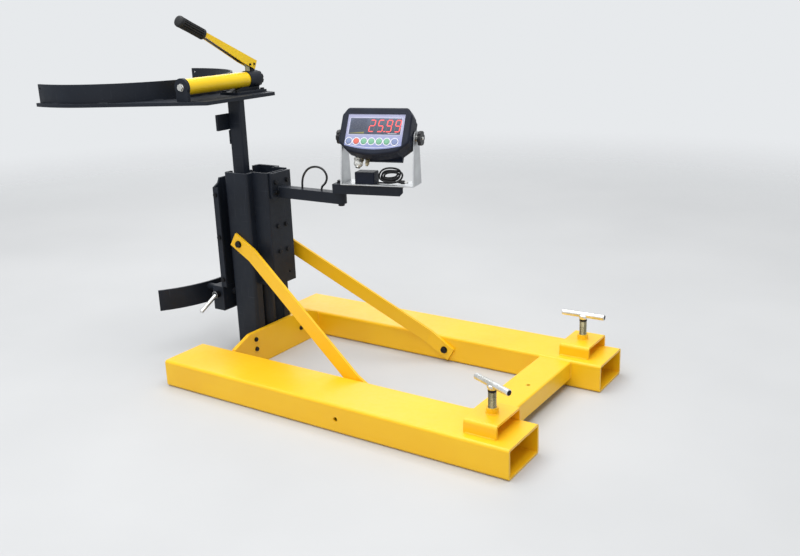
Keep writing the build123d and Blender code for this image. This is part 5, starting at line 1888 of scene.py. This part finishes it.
@dataclass
class IndicatorFace:
    """The tilting weight indicator's case, with the display, prints and keys on its face."""

    surface: float = 41.0
    window_surface: float = 41.6
    window_size: Pair = (143.0, 44.0)
    window_level: float = 14.7
    window_lines: tuple[Pair, Pair] = ((4.4, 3.2), (3.2, 2.6))
    panel_half: float = 80.0
    panel_low: float = -38.5
    panel_bow: float = 11.0
    line_margin: float = 5.0
    line_half: float = 0.5
    line_steps: int = 24
    mark_spot: Pair = (50.0, 2.2)
    mark_size: Triple = (25.0, 0.9, 0.4)
    strip_corner: Pair = (1.5, 1.2)
    strip_length: float = 41.0
    strip_heights: Pair = (1.0, 5.0)
    field_ends: Pair = (-69.0, -24.0)
    field_radius: float = 15.0
    field_rise: float = 4.8
    field_steps: int = 24
    field_levels: Pair = (-0.1, 0.1)
    print_levels: Pair = (-0.1, 0.15)
    display_levels: Pair = (-0.1, 0.12)
    key_coats: tuple[Coat, ...] = (Coat.KEY_BLUE, Coat.KEY_RED, *[Coat.KEY_GREEN] * 4, Coat.KEY_BLUE)
    middle_key: int = 3
    key_pitch: float = 21.3
    key_offset: float = -4.5
    key_row: float = -27.0
    key_radius: float = 8.0
    key_lines: Pair = (2.5, 0.7)
    key_seat: float = 38.5
    key_top: float = 41.9
    key_rim: Profile = ((0.0, -0.9), (-0.3, -0.35), (-0.9, -0.05))
    key_dome: Profile = ((0.6, 0.2), (0.3, 0.3), (0.08, 0.32))
    reading: str = "2599"
    digit_spots: tuple[float, ...] = (-8.5, 15.3, 39.1, 62.9)
    digit_rise: float = 1.0
    digit_width: float = 16.0
    digit_height: float = 34.0
    stroke: float = 2.5
    stroke_gap: float = 0.5
    slant: float = 0.1
    point_after: int = 1
    point_spot: Pair = (11.6, -14.5)
    point_size: Triple = (3.2, 3.2, 0.8)

    def build(self, shop: Workshop) -> None:
        """Dresses the case and makes everything on its face.

        Args:
            shop: finishes and fixes the pieces.
        """
        shop.dress(Coat.CASE, "indicator_front", "indicator_back")
        shop.dress(Coat.PANEL, "face_panel")
        shop.dress(Coat.WINDOW, "display_window")
        shop.place(self.pill(), "indicator", Coat.PILL)
        shop.place(self.prints(), "indicator", Coat.PRINT)
        shop.place(self.strip(), "indicator", Coat.OLIVE)
        shop.place(self.digits("display_lit", lit=True), "indicator", Coat.LIT)
        shop.place(self.digits("display_unlit", lit=False), "indicator", Coat.DARK)
        for index, coat in enumerate(self.key_coats):
            body = f"key_{index + 1}"
            shop.place(self.key(index), body, coat, [body])

    def key_spot(self, index: int) -> Basis:
        """Gives a key's place on the face."""
        along = self.key_offset + (index - self.middle_key) * self.key_pitch
        return face_basis.moved(along, self.key_row)

    def pill(self) -> Piece:
        """Makes the darker field at the left of the window, with its half-round left end.

        Returns:
            The new piece.
        """
        left, right = self.field_ends
        radius = self.field_radius
        angles = [math.pi * (0.5 + step / self.field_steps) for step in range(self.field_steps + 1)]
        outline = [(left + radius + radius * math.cos(a), radius * math.sin(a)) for a in angles]
        outline += [(right, -radius), (right, radius)]
        seat = face_basis.moved(0, self.window_level + self.field_rise, self.window_surface)
        return MeshDraft().slab(seat, outline, self.field_levels).make("display_field")

    def prints(self) -> Piece:
        """Makes the white lines round the window, the keys and the panel's lower edge.

        Returns:
            The new piece.
        """
        draft = MeshDraft()
        width, height = self.window_size
        window = [rounded(width + grow, height + grow, corner) for grow, corner in self.window_lines]
        draft.band(face_basis.moved(0, self.window_level, self.surface), *window, self.print_levels)
        rings = [circle(self.key_radius + grow) for grow in self.key_lines]
        for index in range(len(self.key_coats)):
            draft.band(self.key_spot(index).moved(z=self.surface), *rings, self.print_levels)
        draft.slab(face_basis.moved(z=self.surface), self.lower_line(), self.print_levels)
        along, rise = self.mark_spot
        mark = face_basis.moved(along, self.window_level - height / 2 + rise, self.window_surface)
        draft.slab(mark, rounded(*self.mark_size), self.display_levels)
        return draft.make("panel_prints")

    def lower_line(self) -> Outline:
        """Draws the bowed line along the panel's lower edge.

        Returns:
            The line's outline.
        """
        upper, lower = [], []
        for step in range(self.line_steps + 1):
            x = (self.panel_half - self.line_margin) * (2 * step / self.line_steps - 1)
            bow = self.panel_bow * (1 - (x / self.panel_half) ** 2)
            y = self.panel_low - bow + self.line_margin
            upper.append((x, y + self.line_half))
            lower.append((x, y - self.line_half))
        return lower + upper[::-1]

    def strip(self) -> Piece:
        """Makes the tapering strip at the window's lower left.

        Returns:
            The new piece.
        """
        width, height = self.window_size
        set_in, rise = self.strip_corner
        thin, thick = self.strip_heights
        left = -width / 2 + set_in
        right = left + self.strip_length
        low = self.window_level - height / 2 + rise
        outline = [(left, low), (right, low), (right, low + thick), (left, low + thin)]
        seat = face_basis.moved(z=self.window_surface)
        return MeshDraft().slab(seat, outline, self.display_levels).make("display_strip")

    def segment(self, letter: str) -> Outline:
        """Gives one segment of a digit about the digit's middle, leaning with it.

        Args:
            letter: the segment's letter, from a at the top round to g in the middle.

        Returns:
            The segment's outline.
        """
        thick = self.stroke / 2
        half_width = self.digit_width / 2 - thick
        half_height = self.digit_height / 2 - thick
        level = {"a": half_height, "g": 0.0, "d": -half_height}
        if letter in level:
            end = half_width - self.stroke_gap
            run = end - thick
            flat = [(-end, 0), (-run, -thick), (run, -thick), (end, 0), (run, thick), (-run, thick)]
            points = [(x, y + level[letter]) for x, y in flat]
        else:
            side = half_width if letter in "bc" else -half_width
            low, high = self.stroke_gap, half_height - self.stroke_gap
            if letter in "ce":
                low, high = -high, -low
            inner, outer = side - thick, side + thick
            points = [(side, low), (outer, low + thick), (outer, high - thick)]
            points += [(side, high), (inner, high - thick), (inner, low + thick)]
        return [(x + self.slant * y, y) for x, y in points]

    def digits(self, name: str, lit: bool) -> Piece:
        """Makes the display's lit or dark segments.

        Args:
            name: the piece's name.
            lit: whether to make the segments that glow.

        Returns:
            The segments as one piece.
        """
        draft = MeshDraft()
        for digit, spot in zip(self.reading, self.digit_spots):
            seat = face_basis.moved(spot, self.window_level + self.digit_rise, self.window_surface)
            for letter in "abcdefg":
                if (letter in LIT_SEGMENTS[digit]) == lit:
                    draft.slab(seat, self.segment(letter), self.display_levels)
        if lit:
            along, rise = self.point_spot
            along += self.digit_spots[self.point_after]
            point = face_basis.moved(along, self.window_level + rise, self.window_surface)
            draft.slab(point, rounded(*self.point_size), self.display_levels)
        return draft.make(name)

    def key(self, index: int) -> Piece:
        """Makes one domed key.

        Args:
            index: the key's number from the left, from 0.

        Returns:
            The new piece.
        """
        radius, top = self.key_radius, self.key_top
        profile = [(radius, self.key_seat), *shifted(self.key_rim, radius, top)]
        profile += [(share * radius, top + rise) for share, rise in self.key_dome]
        return MeshDraft().turned(self.key_spot(index), profile).make(f"key_{index + 1}_cap")


@dataclass
class IndicatorFittings:
    """The indicator's cable gland, power jack and tilt knobs."""

    outlet_seat: Pair = (-60.0, -5.0)
    gland_along: float = -51.0
    gland_stem: Profile = ((6.0, -10.0), (6.0, 0.5))
    gland_body: Pair = (14.0, 9.0)
    gland_dome: Profile = ((11.2, 8.6), (12.3, 9.4), (12.1, 15.0), (10.2, 18.5), (8.4, 20.0))
    gland_ribs: int = 18
    rib_depth: float = 0.06
    gland_lip: Profile = ((7.0, 19.5), (7.0, 23.2), (6.4, 24.0), (4.0, 24.0), (4.0, 21.0))
    jack_along: float = -26.0
    jack_stem: Profile = ((3.5, -10.0), (3.5, 0.5))
    jack_barrel: Profile = ((4.8, 0.0), (5.5, 0.8), (5.5, 13.2), (4.8, 14.0))
    jack_knurls: int = 28
    knurl_depth: float = 0.07
    jack_lip: Profile = ((4.0, 13.5), (4.0, 17.4), (3.5, 18.0), (1.8, 18.0), (1.8, 15.0))
    knob_reach: float = 118.8
    stud_end: Profile = ((4.2, -1.0), (4.2, 1.6), (3.6, 2.3), (1.8, 2.6))
    stud_sleeve: Profile = ((7.0, -14.9), (7.6, -14.5), (7.6, -9.4), (7.2, -8.9))

    def build(self, shop: Workshop) -> None:
        """Dresses the knobs and makes their studs and both fittings.

        Args:
            shop: finishes and fixes the pieces.
        """
        knobs = ("inner_tilt_knob", "outer_tilt_knob")
        shop.dress(Coat.KNOB, *knobs)
        shop.place(self.gland(), "indicator", Coat.GLAND, ["cable_glands"])
        shop.place(self.jack(), "indicator", Coat.BRASS, ["cable_glands"])
        for side, body in zip(SIDES, knobs):
            shop.place(self.stud(f"{body}_stud", side), body, Coat.ZINC)

    def outlet(self, along: float) -> Basis:
        """Gives the seat of a fitting under the case, looking down out of it."""
        return Basis(face_basis.spot(along, *self.outlet_seat), face_basis.x, -face_basis.y)

    def gland(self) -> Piece:
        """Makes the cable gland with its six-sided body and ribbed dome nut.

        Returns:
            The new piece.
        """
        draft = MeshDraft()
        seat = self.outlet(self.gland_along)
        draft.turned(seat, self.gland_stem, sides=32)
        draft.hex_head(seat, *self.gland_body)
        draft.turned(seat, self.gland_dome, sides=108, lobe=lobes(self.gland_ribs, self.rib_depth))
        draft.turned(seat, self.gland_lip, sides=40)
        return draft.make("cable_gland", FITTING_CREASE)

    def jack(self) -> Piece:
        """Makes the small knurled jack.

        Returns:
            The new piece.
        """
        draft = MeshDraft()
        seat = self.outlet(self.jack_along)
        draft.turned(seat, self.jack_stem, sides=28)
        draft.turned(seat, self.jack_barrel, sides=168, lobe=lobes(self.jack_knurls, self.knurl_depth))
        draft.turned(seat, self.jack_lip, sides=32)
        return draft.make("power_jack", FITTING_CREASE)

    def stud(self, name: str, side: int) -> Piece:
        """Makes the bright stud end in the middle of a tilt knob, and the sleeve behind the knob.

        Args:
            name: the piece's name.
            side: the knob's side, as a sign along the face.

        Returns:
            The new piece.
        """
        seat = Basis(face_basis.spot(side * self.knob_reach), face_basis.y, face_basis.x * side)
        draft = MeshDraft().turned(seat, self.stud_end, sides=32)
        return draft.turned(seat, self.stud_sleeve, sides=40).make(name)


@dataclass
class TrayGroup:
    """The tray, the yoke and the power adapter."""

    boot_seat: Triple = (106.0, -14.0, 554.5)
    boot_length: float = 8.0
    boot_radius: float = 3.4
    boot_overlap: float = 0.6
    boot_ribs: int = 4
    boot_taper: float = 0.12
    boot_tip: float = 2.6
    rib: Profile = ((0.0, 0.2), (0.0, 1.2), (-0.4, 1.5))

    def build(self, shop: Workshop) -> None:
        """Dresses the tray's pieces and makes the adapter's cable boot.

        Args:
            shop: finishes and fixes the pieces.
        """
        shop.dress(Coat.BLACK, "tray")
        shop.dress(Coat.STAINLESS, "yoke")
        shop.dress(Coat.CASE, "power_adapter")
        shop.place(self.boot(), "tray", Coat.CORD)

    def boot(self) -> Piece:
        """Makes the ribbed boot where the hank leaves the adapter.

        Returns:
            The new piece.
        """
        seat = Basis(tray_basis.spot(*self.boot_seat), tray_basis.y, tray_basis.x)
        profile = [(self.boot_radius, -self.boot_overlap)]
        for index in range(self.boot_ribs):
            start = self.boot_length * index / self.boot_ribs
            profile += shifted(self.rib, self.boot_radius - self.boot_taper * index, start)
        profile.append((self.boot_tip, self.boot_length))
        return MeshDraft().turned(seat, profile, sides=32).make("adapter_boot")


def main() -> None:
    """Builds the studio and every sub-assembly in order."""
    logging.basicConfig(level=logging.INFO, format="%(message)s")
    shop = Workshop(frame["nodes"])
    Studio().build()
    assemblies = (
        Cords(), FrameWork(), ClampScrews(), Mast(), Carriage(), HandPump(), Fasteners(), IndicatorFace(),
        IndicatorFittings(), TrayGroup(),
    )
    for assembly in assemblies:
        assembly.build(shop)


if __name__ == "__main__":
    main()
